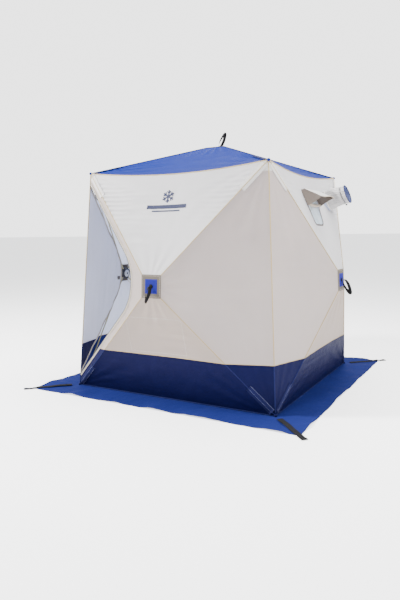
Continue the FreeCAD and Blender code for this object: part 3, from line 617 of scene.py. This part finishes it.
def finish_panel(piece, panel):
    panel.blend(piece)
    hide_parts(panel.body)


def whole_panel(panel):
    def metres(u, v):
        return (u * panel.length, v * panel.reach)

    piece = grid(panel.body + "_cloth", PANEL_CELLS, PANEL_CELLS, panel.skin, upper_colour(panel), metres)
    if panel.face.name != "roof":
        colour_band(piece)
    finish_panel(piece, panel)


class DoorShape:
    """The doorway or the flap: two straight sides beside the ridges and one arc tangent to both.

    The inset moves every side in from the doorway's edge; edge is the distance from the corner seam.
    """

    def __init__(self, inset=0.0, edge=0.0):
        panel = PANELS["front_panel_left"]
        start, end = panel.ridge_span(panel.reach)
        upper, lower = atan2(panel.reach, start), atan2(panel.reach, panel.length - end)
        inner = DOOR_RIDGE_GAP + DOOR_RADIUS
        first, last = inner / sin(upper), panel.length - inner / sin(lower)
        self.centre_y = (last - first) / (1 / tan(upper) + 1 / tan(lower))
        self.centre_x = first + self.centre_y / tan(upper)
        self.radius = DOOR_RADIUS - inset
        self.edge, self.angles = edge, (pi / 2 + upper, pi / 2 - lower)
        self.upper, self.lower = self.on_arc(self.angles[0]), self.on_arc(self.angles[1])
        gap = DOOR_RIDGE_GAP + inset
        self.start_x = gap / sin(upper) + edge / tan(upper)
        self.end_x = panel.length - gap / sin(lower) - edge / tan(lower)
        self.reach = self.centre_y + self.radius

    def on_arc(self, angle):
        return Vector((self.centre_x + self.radius * cos(angle), self.centre_y + self.radius * sin(angle)))

    def point(self, u):
        """x down the seam and y in from it; u runs from 0 at the top to 1."""
        start, end = Vector((self.start_x, self.edge)), Vector((self.end_x, self.edge))
        arc = self.radius * (self.angles[0] - self.angles[1])
        first, last = (self.upper - start).length, (end - self.lower).length
        run = u * (first + arc + last)
        if run < first:
            return start.lerp(self.upper, run / first)
        if run > first + arc:
            return self.lower.lerp(end, (run - first - arc) / last)
        return self.on_arc(self.angles[0] - (run - first) / self.radius)

    def reach_at(self, x):
        """How far the shape reaches from the seam at x down it."""
        if x < self.upper.x:
            return self.edge + (self.upper.y - self.edge) * (x - self.start_x) / (self.upper.x - self.start_x)
        if x > self.lower.x:
            return self.edge + (self.lower.y - self.edge) * (self.end_x - x) / (self.end_x - self.lower.x)
        return self.centre_y + sqrt(max(self.radius ** 2 - (x - self.centre_x) ** 2, 0.0))

    def area(self):
        outline = [self.point(i / 200) for i in range(201)]
        doubled = sum(p.x * q.y - q.x * p.y for p, q in zip(outline, outline[1:] + outline[:1]))
        return abs(doubled) / 2


def ridge_path(panel, u):
    """Round a panel's outer edge: up one ridge, across the patch and down the other."""
    first, across, second = (panel.pa - panel.a).length, 2 * PATCH_HALF, (panel.pb - panel.b).length
    run = u * (first + across + second)
    if run <= first:
        return panel.a.lerp(panel.pa, run / first)
    if run <= first + across:
        return panel.pa.lerp(panel.pb, (run - first) / across)
    return panel.pb.lerp(panel.b, (run - first - across) / second)


def doorway_panel(panel):
    """The front wall's left panel: what is left of it round the doorway."""
    doorway = DoorShape()
    height, waves, spread = DOORWAY_PLEATS

    def place(u, v):
        spot = panel.at(*doorway.point(u)).lerp(ridge_path(panel, u), v)
        pleat = sin(u * waves + 3 * noise(spot * 3)) * exp(-((u - 0.5) / spread) ** 2)
        ripple = sin(pi * v) * (0.004 * noise(spot * 7) + height * pleat)
        return spot + panel.out * ripple

    piece = grid(panel.body + "_cloth", 200, 14, place, upper_colour(panel))
    colour_band(piece)
    round_it = lengths([panel.a, panel.pa, panel.pb, panel.b])[-1]
    cut = (panel.length + 2 * PATCH_HALF) / 2 * panel.reach - doorway.area()
    finish_panel(piece, panel)
    path = [panel.at(*doorway.point(i / 90), 0.0015) for i in range(91)]
    trim = tape("doorway_zip_tape", path, panel.out, ZIP_TAPE, 0.0020, "tape", offset=0.008)
    panel.blend(trim, "zip_metal")
    panel.blend(pipe("doorway_zip_teeth", [p + panel.out * 0.0016 for p in path], ZIP_TEETH, "metal",
                     sides=6))


def window_outline(count=16):
    """The window's edge, x along the eave and y down the panel, with rounded corners."""
    corners = [Vector((WINDOW_MIDDLE + a, b)) for a, b in (
        (-WINDOW_TOP_HALF, WINDOW_TOP), (WINDOW_TOP_HALF, WINDOW_TOP),
        (WINDOW_BOTTOM_HALF, WINDOW_BOTTOM), (-WINDOW_BOTTOM_HALF, WINDOW_BOTTOM))]
    path = []
    for index, corner in enumerate(corners):
        before, after = corners[index - 1], corners[(index + 1) % 4]
        size = 0.018 if index < 2 else 0.045
        start = corner + (before - corner).normalized() * size
        end = corner + (after - corner).normalized() * size
        for k in range(count + 1):
            share = k / count
            path.append(start.lerp(corner, share).lerp(corner.lerp(end, share), share))
    return path


def inside(outline, x, y):
    """Whether x, y lies inside a closed outline."""
    hit = False
    for before, after in zip(outline, outline[1:] + outline[:1]):
        if (before.y > y) != (after.y > y):
            if x < before.x + (y - before.y) / (after.y - before.y) * (after.x - before.x):
                hit = not hit
    return hit


def vent_panel(panel):
    """The right wall's top panel, with its window and the hole for the vent sleeve."""
    outline = window_outline()
    hole = [Vector((SLEEVE_AT + SLEEVE_RADIUS * cos(a), SLEEVE_DROP + SLEEVE_RADIUS * sin(a)))
            for a in (TURN * k / 64 for k in range(64))]

    def keep(u, v):
        spot = panel.flat(u, v) - panel.a
        x, y = spot.dot(panel.along), spot.dot(panel.inward)
        return not inside(outline, x, y) and not inside(hole, x, y)

    finish_panel(grid(panel.body + "_cloth", 150, 100, panel.skin, upper_colour(panel), keep=keep), panel)
    return outline


def build_cloth():
    for panel in PANELS.values():
        if panel.body == "front_panel_left":
            doorway_panel(panel)
        elif panel.body != "right_panel_top":
            whole_panel(panel)


# ---- piping, pole pockets and corners ----

WALL_POLES = ["upper_right", "upper_left", "lower_left", "lower_right"]
ROOF_POLES = ["back_right", "back_left", "front_left", "front_right"]
SEAM_STEPS = 48
PATCH_ROOT = 0.02                       # where a corner patch starts, down its seam
EAVE_CAP, HEM_CAP, CAP_FOOT = 0.0125, 0.0130, 0.0032    # corner covers: radii, and the lower ones' foot


def build_ridges():
    """Piping on every ridge, and the pole pocket at its corner."""
    for face in FACES.values():
        for index in range(4):
            body = "%s_pole_%s" % (face.name, (ROOF_POLES if face.name == "roof" else WALL_POLES)[index])
            panels = [PANELS["%s_panel_%s" % (face.name, face.sides[i])] for i in (index, index - 1)]
            normal = (panels[0].out + panels[1].out).normalized()
            path = [p + normal * 0.001 for p in line(face.patch[index], face.corners[index], 40)]
            material = "hem_pipe" if face.name == "roof" else "piping"
            ridge = pipe(body + "_ridge_piping", path, RIDGE_PIPE, material)
            colour_band(ridge, "hem_pipe")
            fasten(ridge, body)
            build_pocket(face, index, body, panels)


def build_pocket(face, index, body, panels):
    """The pole pocket: a folded strip sewn over the ridge at the corner, half of it on either panel."""
    corner = face.corners[index]
    inward = (face.patch[index] - corner).normalized()
    path = [corner + inward * (POCKET_START + (POCKET_LENGTH - POCKET_START) * k / 14) for k in range(15)]
    is_navy = face.name == "roof" or index >= 2
    for number, panel in enumerate(panels):
        side = panel.out.cross(inward).normalized()
        if side.dot((panel.a + panel.b) / 2 - corner) < 0:
            side = -side
        strip = tape("%s_pocket_%d" % (body, number + 1),
                     [p + side * POCKET_WIDTH / 4 + panel.out * 0.0022 for p in path],
                     panel.out, POCKET_WIDTH / 2, 0.0016, "navy_pocket" if is_navy else "pocket")
        panel.blend(strip, "fabric_navy" if is_navy else "fabric_white")


def build_corner_patches():
    """The reinforcing triangle in the upper corner of a wall's side panels."""
    for panel in PANELS.values():
        if panel.side not in ("left",
                              "right") or panel.face.name == "roof" or panel.body == "front_panel_left":
            continue
        start, end = panel.ridge_span(panel.reach)
        slope = panel.reach / (start if panel.side == "left" else panel.length - end)

        def place(u, v, panel=panel, slope=slope):
            down = PATCH_ROOT + (CORNER_PATCH - PATCH_ROOT) * v
            x = down if panel.side == "left" else panel.length - down
            return panel.place(x, 0.003 + (0.97 * slope * down - 0.003) * u, 0.0014)

        patch = grid(panel.body + "_corner_patch", 12, 12, place, "pocket",
                     lambda u, v: (u * 0.12, (1 - v) * 0.11))
        panel.blend(patch, "fabric_white")


def build_seams():
    pieces = []
    for name in WALLS:
        face = FACES[name]
        eave, hem = PANELS[name + "_panel_top"], PANELS[name + "_panel_bottom"]
        eave_line = [eave.edge(i / SEAM_STEPS) for i in range(SEAM_STEPS + 1)]
        pieces.append(pipe(name + "_eave_piping", eave_line, SEAM_PIPE, "piping"))
        pieces.append(pipe(name + "_hem_piping", line(hem.a, hem.b, SEAM_STEPS), SEAM_PIPE, "hem_pipe"))
        corner_seam = line(face.corners[0], face.corners[3], SEAM_STEPS)
        pieces.append(pipe(name + "_corner_piping", corner_seam, SEAM_PIPE, "piping"))
        colour_band(pieces[-1], "hem_pipe")
    seams = joined("seam_piping", pieces)
    keep_above(seams, 0.0005)
    fasten(seams, "shell", "seam_bindings")


def ball(name, centre, radius, material, squeeze=(1, 1, 1), floor=None):
    """A small rounded cap; squeeze flattens it along each axis."""
    def place(u, v):
        angle, rise = TURN * u, pi * (v - 0.5)
        spot = Vector((cos(angle) * cos(rise), sin(angle) * cos(rise), sin(rise)))
        spot = centre + Vector(tuple(spot[i] * radius * squeeze[i] for i in range(3)))
        if floor is not None:
            spot.z = max(spot.z, floor)
        return spot
    return grid(name, 24, 14, place, material, closed=True)


def build_corners():
    pieces = []
    for name in WALLS:
        face = FACES[name]
        pieces.append(ball(name + "_upper_cap", face.corners[0], EAVE_CAP, "blue", squeeze=(1, 1, 0.9)))
        pieces.append(ball(name + "_lower_cap", face.corners[3], HEM_CAP, "navy", floor=CAP_FOOT))
    fasten(joined("corner_joint_covers", pieces), "shell", "corner_caps")


def build_band_piping():
    """The beige line where the navy band meets the upper cloth, one stretch to a panel."""
    for panel in PANELS.values():
        if panel.face.name == "roof" or panel.side == "top":
            continue
        cloth_mesh = bpy.data.objects[panel.body + "_cloth"].data
        level = [v.co.copy() for v in cloth_mesh.vertices if abs(v.co.z - BAND_TOP) < 1e-5]
        if len(level) < 3:
            continue
        level.sort(key=lambda p: p.dot(panel.face.across))
        runs = [[level[0]]]
        for spot in level[1:]:
            gap = (spot - runs[-1][-1]).length
            if gap > 0.12:
                runs.append([spot])
            elif gap > 0.004:
                runs[-1].append(spot)
        for number, run in enumerate(runs):
            if len(run) > 2:
                path = [p + panel.out * 0.0006 for p in run]
                panel.blend(pipe("%s_band_piping_%d" % (panel.body, number + 1), path, BAND_PIPE, "piping",
                                 sides=8))


# ---- hub patches and loops ----

WALL_LOOP_LEAN, ROOF_LOOP_LEAN, LOOP_TWIST = radians(24), radians(62), radians(80)
# radius and depth of the cap over a hub's inner side, from its rim to its middle
CAP_PROFILE = [(0.0345, 0.0), (0.0345, 0.0035), (0.0325, 0.0062),
               (0.026, 0.0082), (0.014, 0.0094), (0.0105, 0.0086)]
CAP_DEPTH, BOLT_DEPTH = 0.0470, 0.0565  # how far behind the hub they are


def turned(profile, v):
    """Radius and depth at share v of the way through a turned shape's profile."""
    index = min(int(v * (len(profile) - 1)), len(profile) - 2)
    share = v * (len(profile) - 1) - index
    return [a * (1 - share) + b * share for a, b in zip(profile[index], profile[index + 1])]


def flatten(piece, anchor, axis, keep):
    for vertex in piece.data.vertices:
        gap = (vertex.co - anchor).dot(axis)
        vertex.co -= axis * (gap * (1 - keep))


def patch_sheet(name, face, half, lift, material, cells=24):
    """A square of patch cloth with turned, slightly puffed edges; UV across is the edge's distance."""
    def spot(u, v):
        a, b = (2 * u - 1) * half, (2 * v - 1) * half
        return a, b, min(half - abs(a), half - abs(b))

    def place(u, v):
        a, b, edge = spot(u, v)
        return face.at(a, b,
                       lift + 0.0012 * exp(-((edge - 0.006) / 0.004) ** 2) - 0.0012 * exp(-edge / 0.002))

    def border(u, v):
        a, b, edge = spot(u, v)
        return (a if half - abs(b) < half - abs(a) else b, edge)
    return grid(name, cells * 2, cells * 2, place, material, border)


def loop_path(face):
    """The pull loop's middle line, closed, in the plane that its lean sets, and its normals."""
    lean = ROOF_LOOP_LEAN if face.name == "roof" else WALL_LOOP_LEAN
    down = -face.across if face.name == "roof" else face.up
    away = (-down * cos(lean) + face.out * sin(lean)).normalized()
    side = (down * sin(lean) + face.out * cos(lean)).normalized()
    half = LOOP_SPAN / 2 - LOOP_THICK / 2
    top = face.at(0, 0, 0.0015 + LOOP_SPAN / 2 * cos(lean) + 0.001)
    path, normals = [], []
    for k in range(72):
        angle = TURN * (k / 72)
        along = (1 - cos(angle)) / 2 * (LOOP_LENGTH - 2 * LOOP_THICK)
        bow = sin(angle) * half * (0.75 + 0.25 * cos(angle))
        path.append(top + away * along + side * bow)
    wide = away.cross(side).normalized()
    for index in range(len(path)):
        ahead = (path[(index + 1) % len(path)] - path[index - 1]).normalized()
        twist = Matrix.Rotation(LOOP_TWIST * sin(pi * index / len(path)), 3, ahead)
        normals.append(twist @ ahead.cross(wide).normalized())
    return path + path[:1], normals + normals[:1]


def build_hub(face):
    """Patch, pull loop and, inside, the cap over the hub with its bolt."""
    body = face.name + "_hub_unit"
    patch = patch_sheet(face.name + "_patch_cloth", face, PATCH_HALF + PATCH_HEM, 0.0030, "patch")
    centre = patch_sheet(face.name + "_patch_centre", face, PATCH_CENTRE_HALF, 0.0048, "blue_patch", cells=16)
    loop = tape(face.name + "_pull_loop", *loop_path(face), LOOP_WIDTH, LOOP_THICK, "webbing")
    tab = ball(face.name + "_loop_tab", face.at(0, 0, 0.007), 0.017, "webbing")
    flatten(tab, face.at(0, 0, 0.005), face.out, 0.32)

    def dome(u, v):
        radius, depth = turned(CAP_PROFILE, v)
        return circle(face.at(0, 0, -CAP_DEPTH), face.across, -face.up, radius, TURN * u) - face.out * depth

    cap = grid(face.name + "_inner_cap", 48, 15, dome, "cover", closed=True)
    bolt = ball(face.name + "_inner_bolt", face.at(0, 0, -BOLT_DEPTH), 0.009, "hub")
    flatten(bolt, face.at(0, 0, -BOLT_DEPTH), face.out, 0.3)
    fasten(patch, body, face.name + "_hub_patch")
    fasten(loop, body)
    for piece in (centre, tab, cap, bolt):
        fasten(piece, body)


def finish_cad():
    """The CAD nodes that stay in sight get their own materials."""
    for name, item in frame["nodes"].items():
        look = "hub" if name.endswith("_hub") else "rod" if "_pole_" in name else None
        for slot in item.material_slots if look else ():
            slot.material = MATS[look]


# ---- skirt and straps ----

WAVE, PLEAT, FINE, GRAIN = 0.022, 0.006, 0.004, 0.0010      # heights of the skirt's ripples
SKIRT_PIPE = 0.0020         # radius of the binding round its rim


def skirt_height(x, y):
    """The skirt's ripples: flat under the hem, wavier towards the rim."""
    out = max(abs(x), abs(y)) - SKIRT_INNER
    share = min(max(out / (SKIRT_HALF - SKIRT_INNER), 0.0), 1.0)
    is_side = abs(y) > abs(x)
    along, spot = x if is_side else y, Vector((x, y, 0))
    wave = noise(Vector((along * 4.5, out * 2.5, 3.0 if is_side else 7.0)))
    pleat = noise(Vector((along * 15 + 3 * out, out * 3.0, 5.0 if is_side else 1.0)))
    fine = noise(spot * 11 + Vector((0, 0, 2)))
    relief = WAVE * max(wave + 0.12, 0.0) + PLEAT * max(pleat, 0.0) + FINE * max(fine, 0.0)
    return 0.0012 + sin(share * pi / 2) * relief + GRAIN * abs(noise(spot * 30))


def build_skirt():
    def place(u, v):
        side, share = int(u * 4) % 4, u * 4 - int(u * 4)
        reach = SKIRT_INNER + (SKIRT_HALF - SKIRT_INNER) * v
        wobble = 0.006 * v * noise(Vector((u * 60, 0, 1)))
        along, out = (2 * share - 1) * reach, reach - abs(wobble) * (1 - abs(2 * share - 1) ** 6)
        x, y = ((along, -out), (out, along), (-along, out), (-out, -along))[side]
        return Vector((x, y, skirt_height(x, y)))

    skirt = grid("skirt_cloth", 480, 26, place, "skirt", closed=True)
    fasten(skirt, "shell", "ground_skirt")
    rim = [place((side + k / 60) / 4, 1.0) + UP * 0.0006 for side in range(4) for k in range(60)]
    edge = pipe("skirt_edge_binding", rim + rim[:1], SKIRT_PIPE, "hem_pipe", sides=6)
    keep_above(edge, 0.0003)
    fasten(edge, "shell")


def build_straps():
    """Anchor webbing at each corner: the strap, its folded end and the bar of stitching at its root."""
    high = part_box("anchor_straps")[1]
    start = STRAP_ROOT * sqrt(2)
    end = (high[0] - STRAP_WIDTH / 2 / sqrt(2)) * sqrt(2)
    pieces = []
    for index in range(4):
        angle = radians(45 + 90 * index)
        direction = Vector((cos(angle), sin(angle), 0))
        path = []
        for k in range(25):
            spot = direction * (start + (end - start) * k / 24)
            on_skirt = max(abs(spot.x), abs(spot.y)) < SKIRT_HALF
            spot.z = skirt_height(spot.x, spot.y) + 0.0035 if on_skirt else 0.003
            path.append(spot)
        fold = [direction * (end - 0.030 * k / 4) + UP * 0.0062 for k in range(5)]
        bar = [direction * (start + 0.012 * k) + UP * (path[0].z + 0.002) for k in range(5)]
        for name, run, width, thick in (("strap", path, STRAP_WIDTH, STRAP_THICK),
                                        ("strap_fold", fold, STRAP_WIDTH, 0.0022),
                                        ("strap_bartack", bar, STRAP_WIDTH + 0.002, 0.0020)):
            pieces.append(tape("%s_%d" % (name, index + 1), run, UP, width, thick, "webbing"))
    fasten(joined("anchor_webbing", pieces), "shell", "anchor_straps")


# ---- door ----

FLAP_TAPE, TAB_WIDTH, TAB_LENGTH = 0.018, 0.034, 0.045      # the flap's zip tape and its small tab
SLIDER_HALF, SLIDER_SIDE, SLIDER_BACK = 0.015, 0.0068, 0.021    # the slider's body, and where it starts
BRIDGE_WIRE, PULL_WIDTH, PULL_LENGTH = 0.0016, 0.009, 0.042


def build_door():
    """The flap, stowed: down the seam, out along the flap, and square to it."""
    panel = PANELS["front_panel_left"]
    swing = Matrix.Rotation(-radians(JOINTS["door_swing"]["range_deg"][1]), 3, panel.along)
    out_dir, square = swing @ panel.inward, swing @ panel.out
    shape, hem = DoorShape(DOOR_GAP, DOOR_EDGE), DoorShape(DOOR_GAP + 0.003, DOOR_EDGE)

    def fold(x, y):
        """Soft upright folds that deepen away from the seam."""
        share = max(y - DOOR_EDGE, 0.0) / (shape.reach - DOOR_EDGE)
        drift = 0.035 * noise(Vector((x * 1.4, 0, 5)))
        wave = sin((y + drift) * 30) * 0.011 + sin((y + drift * 2) * 71 + x * 3) * 0.004
        return share * wave * (1 - 0.55 * share) - 0.004 * share

    def on_flap(x, y):
        return panel.a + panel.along * x + out_dir * y + square * fold(x, y)

    def place(u, v):
        x = shape.start_x + (shape.end_x - shape.start_x) * u
        return on_flap(x, DOOR_EDGE + max(shape.reach_at(x) - DOOR_EDGE, 0.0) * v)

    flap = grid("door_flap_cloth", 120, 70, place, "flap")
    colour_band(flap)
    fasten(flap, "door_flap", "door_flap")
    shape.area()
    edge_line = [on_flap(*hem.point(k / 90)) for k in range(91)]
    spot = on_flap(shape.centre_x + 0.02, shape.reach - 0.055)
    sides = (("outer", square), ("inner", -square))
    for name, facing in sides:
        path = [p + facing * 0.0012 for p in edge_line]
        offset = -0.008 if name == "outer" else 0.008
        fasten(tape("door_zip_tape_" + name, path, facing, FLAP_TAPE, 0.0018, "tape", offset), "door_flap")
    for name, facing in sides:
        path = [spot + out_dir * (TAB_LENGTH * (k / 6 - 0.5)) + facing * 0.003 for k in range(7)]
        fasten(tape("door_tab_" + name, path, facing, TAB_WIDTH, 0.0022, "patch"), "door_flap")


def build_slider():
    """Zip slider: a waisted body with a bridge, and a tapered pull."""
    panel = PANELS["front_panel_left"]
    low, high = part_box("door_zip_slider")
    middle = (Vector(low) + Vector(high)) / 2
    run = Vector(JOINTS["zip_run"]["axis"]).normalized()
    side = panel.out.cross(run).normalized()
    base = middle - run * SLIDER_BACK + panel.out * (ZIP_TEETH - (middle - panel.a).dot(panel.out))

    def body(u, v):
        angle, rise = TURN * u, pi * (v - 0.5)
        long, wide = SLIDER_HALF * sin(rise), SLIDER_SIDE * (1 + 0.22 * sin(rise))
        ring = cos(rise) ** 0.35
        return base + run * long + side * (wide * ring * cos(angle)) \
            + panel.out * (0.0030 + 0.0028 * ring * sin(angle))

    bridge = [base + run * (0.010 * cos(a)) + panel.out * (0.0055 + 0.0035 * sin(a))
              for a in (pi * k / 10 for k in range(11))]
    pull = [base + run * (0.012 + PULL_LENGTH * k / 8) + panel.out * 0.0060 for k in range(9)]
    pieces = [grid("slider_body", 24, 16, body, "metal", closed=True),
              pipe("slider_bridge", bridge, BRIDGE_WIRE, "metal", sides=8),
              tape("slider_pull", pull, panel.out, PULL_WIDTH, 0.0022, "metal")]
    fasten(joined("zip_slider_detail", pieces), "door_zip_slider", "door_zip_slider")


# ---- window, visor and vent ----

ROLL_HALF, ROLL_RADIUS, ROLL_DROP = 0.150, 0.011, 0.118     # the window's rolled-up cover
WINDOW_TAPE, VISOR_WIRE = 0.014, 0.0036
# radius and place along its length of the cord lock, from its blind end to its button
LOCK_PROFILE = [(0.0, -0.0108), (0.0052, -0.0108), (0.0068, -0.0096), (0.0068, -0.002), (0.0058, -0.001),
                (0.0058, 0.001), (0.0068, 0.002), (0.0068, 0.0060), (0.0050, 0.0066), (0.0046, 0.0104),
                (0.0036, 0.0110), (0.0, 0.0110)]


def film_material():
    """Clear soft film: mostly see-through, faintly milky, slightly rippled."""
    material, tree, shader = new_material("clear_window_film")
    ripple = speckle(tree, add_node(tree, "TexCoord").outputs["Object"], 9.0, 3.0)
    feed(tree, shader, {"Normal": bump(tree, ripple, 0.6, 0.004), "Roughness": 0.12,
                        "Base Color": ramp(tree, ripple, (0.50, 0.60, 0.62), (0.70, 0.80, 0.82))})
    mix_shaders(tree, 0.45, shader, add_node(tree, "BsdfTransparent", {"Color": (0.93, 0.95, 0.95, 1)}))
    return material


def build_window(panel, outline):
    """The film, its binding, and the cover rolled up across it."""
    MATS["film"] = film_material()
    left, right = min(p.x for p in outline), max(p.x for p in outline)

    def place(u, v):
        y = WINDOW_TOP + 0.004 + (WINDOW_BOTTOM - 0.008 - WINDOW_TOP) * v
        half = WINDOW_TOP_HALF + (WINDOW_BOTTOM_HALF - WINDOW_TOP_HALF) * v
        x = min(max(WINDOW_MIDDLE + (2 * u - 1) * (half + 0.004), left), right)
        return panel.place(x, y, -0.001 + 0.003 * noise(Vector((x * 8, y * 8, 0))))

    film = grid("window_film_pane", 36, 30, place, "film")
    fasten(film, panel.body, "window_film")
    path = [panel.place(p.x, p.y, 0.0015) for p in outline + outline[:1]]
    fasten(tape("window_binding", path, panel.out, WINDOW_TAPE, 0.0022, "rim"), panel.body)
    roll = [panel.place(WINDOW_MIDDLE + (2 * k / 24 - 1) * ROLL_HALF,
                        WINDOW_TOP + ROLL_DROP + 0.010 * sin(pi * k / 24), 0.014) for k in range(25)]
    radii = [ROLL_RADIUS + 0.0018 * sin(k * 2.3) + 0.001 * sin(k * 5.1) for k in range(25)]
    fasten(pipe("rolled_window_cover", roll, ROLL_RADIUS, "roll", sides=14, radii=radii), panel.body)


def build_visor(panel):
    """The propped visor and its two side gussets."""
    hinge = panel.at(WINDOW_MIDDLE, WINDOW_TOP, VISOR_LIFT)
    reach = panel.inward * cos(VISOR_ANGLE) + panel.out * sin(VISOR_ANGLE)
    square = panel.along.cross(reach)

    def place(u, v):
        a = (2 * u - 1) * (WINDOW_TOP_HALF + (VISOR_TIP_HALF - WINDOW_TOP_HALF) * v)
        corner = (abs(2 * u - 1) ** 8) * max(v - 0.75, 0.0) * 0.06
        crown = 0.016 * (1 - (2 * u - 1) ** 2) * v + 0.0015 * noise(Vector((a * 14, v * 3, 1)))
        return hinge + panel.along * a + reach * (VISOR_DEPTH * v - corner) + square * crown

    visor = grid("visor_cloth", 40, 22, place, "visor")
    fasten(visor, "window_visor", "window_visor")
    rim = [place(k / 30, 1.0) for k in range(31)]
    fasten(pipe("visor_rim_binding", rim, VISOR_WIRE, "roll", sides=8), "window_visor")
    for side in (0, 1):
        def gusset(u, v, side=side):
            x = WINDOW_MIDDLE + (2 * side - 1) * (WINDOW_TOP_HALF - 0.022 * v)
            low = panel.place(x, WINDOW_TOP + VISOR_DEPTH * 0.80 * v, 0.0045)
            spot = place(side, v * 0.98).lerp(low, u)
            return spot + panel.along * ((1 - 2 * side) * 0.012 * sin(pi * u) * v)
        wing = grid("visor_gusset_%d" % (side + 1), 12, 20, gusset, "gusset")
        fasten(wing, panel.body)
        tuple(panel.out)
        tuple(panel.at(WINDOW_MIDDLE, WINDOW_TOP, 0.0045))
        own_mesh(wing)


def build_vent(panel):
    """The vent sleeve: a gathered cloth tube with a drawcord channel near its mouth."""
    base = panel.at(SLEEVE_AT, SLEEVE_DROP, 0.0)

    def place(u, v):
        angle = TURN * u
        gather = exp(-((v - CORD_AT) / 0.05) ** 2)
        radius = SLEEVE_RADIUS - 0.002 - 0.010 * gather - 0.006 * v
        radius += (0.0016 + 0.0022 * gather) * sin(angle * 23 + 3 * sin(v * 5)) * min(v * 4, 1)
        radius += 0.0085 * min(v * 3, 1) * noise(Vector((cos(angle) * 2.2, sin(angle) * 2.2, v * 4.0)))
        return base + panel.along * (radius * cos(angle)) \
            + panel.inward * (radius * sin(angle) + 0.012 * v * v) \
            + panel.out * (-0.001 + (SLEEVE_LENGTH - 0.001) * v)

    sleeve = grid("vent_sleeve_cloth", 140, 44, place, "sleeve", closed=True)
    fasten(sleeve, panel.body, "vent_sleeve")
    collar, cord = [], []
    for k in range(49):
        angle = TURN * k / 48
        collar.append(circle(base, panel.along, panel.inward, SLEEVE_RADIUS, angle) + panel.out * 0.002)
        cord.append(circle(place(k / 48, CORD_AT), panel.along, panel.inward, 0.003, angle))
    mouth = [place(k / 60, 1.0) for k in range(61)]
    for name, path, radius, material, sides in (("sleeve_collar", collar, 0.0052, "pocket", 10),
                                                ("sleeve_drawcord", cord, 0.0020, "cord", 8),
                                                ("sleeve_mouth_binding", mouth, 0.0030, "hem_pipe", 8)):
        fasten(pipe(name, path, radius, material, sides=sides), panel.body)


def build_cord_lock(panel):
    """Barrel cord lock with a waist and a sprung button end."""
    low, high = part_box("sleeve_cord_lock")
    centre = (Vector(low) + Vector(high)) / 2

    def place(u, v):
        radius, depth = turned(LOCK_PROFILE, v)
        return circle(centre + panel.along * depth, panel.inward, panel.out, radius, TURN * u)
    lock = grid("cord_lock_detail", 28, 44, place, "hub", closed=True)
    fasten(lock, "sleeve_cord_lock", "sleeve_cord_lock")


# ---- print and stitched pocket ----

CRYSTAL_DROP, CRYSTAL_ARM, BARB_AT, BARB = 0.225, 0.052, 0.026, 0.022
ARM_WIDTH, BARB_WIDTH, POCKET_THREAD = 0.0110, 0.009, 0.0035
PRINT_BARS = ((0.175, 0.030, 0.308), (0.125, 0.010, 0.342))     # half length, width and drop from the eave
POCKET_SEAM = (-0.275, 0.225, 0.385, 0.672)     # left and right of the middle, bottom and top


def strip_on(panel, name, start, end, width, material, lift=0.0016, count=24):
    """A flat printed or sewn strip between two points given as x along the edge, y in from it."""
    path = [panel.place(*Vector(start).lerp(Vector(end), k / count), lift) for k in range(count + 1)]
    return tape(name, path, panel.out, width, 0.0006, material)


def build_print():
    """A plain generic mark: a six-armed snow crystal over two bars."""
    panel = PANELS["front_panel_top"]
    middle = panel.length / 2
    centre = Vector((middle, CRYSTAL_DROP))
    pieces = []
    for arm in range(6):
        angle = pi / 3 * arm + pi / 6
        out = Vector((cos(angle), sin(angle)))
        pieces.append(strip_on(panel, "arm_%d" % arm, centre, centre + out * CRYSTAL_ARM, ARM_WIDTH, "print"))
        for turn in (-1, 1):
            lean = Matrix.Rotation(turn * pi / 4, 2) @ out
            root = centre + out * BARB_AT
            tip = root + lean * BARB
            pieces.append(strip_on(panel, "barb_%d_%d" % (arm, turn), root, tip, BARB_WIDTH, "print"))
    for row, (half, width, y) in enumerate(PRINT_BARS):
        pieces.append(strip_on(panel, "bar_%d" % row, (middle - half, y), (middle + half, y), width, "print",
                               0.0024))
    panel.blend(joined("front_print", pieces), "fabric_navy")


def build_inner_pocket_stitching():
    """The outline of a pocket sewn inside the front wall's bottom panel."""
    panel = PANELS["front_panel_bottom"]
    left, right, low, high = POCKET_SEAM
    middle = panel.length / 2
    corners = [(middle + x, y) for x, y in ((left, low), (right, low), (right, high), (left, high))]
    pieces = [strip_on(panel, "pocket_seam_%d" % index, corner, corners[(index + 1) % 4],
                       POCKET_THREAD, "pocket", lift=0.0012) for index, corner in enumerate(corners)]
    panel.blend(joined("front_pocket_stitching", pieces))


set_camera()
set_stage()
build_cloth()
vent_wall = PANELS["right_panel_top"]
window_edge = vent_panel(vent_wall)
build_ridges()
build_corner_patches()
build_seams()
build_corners()
build_band_piping()
for face in FACES.values():
    build_hub(face)
finish_cad()
build_skirt()
build_straps()
build_door()
build_slider()
build_window(vent_wall, window_edge)
build_visor(vent_wall)
build_vent(vent_wall)
build_cord_lock(vent_wall)
build_print()
build_inner_pocket_stitching()
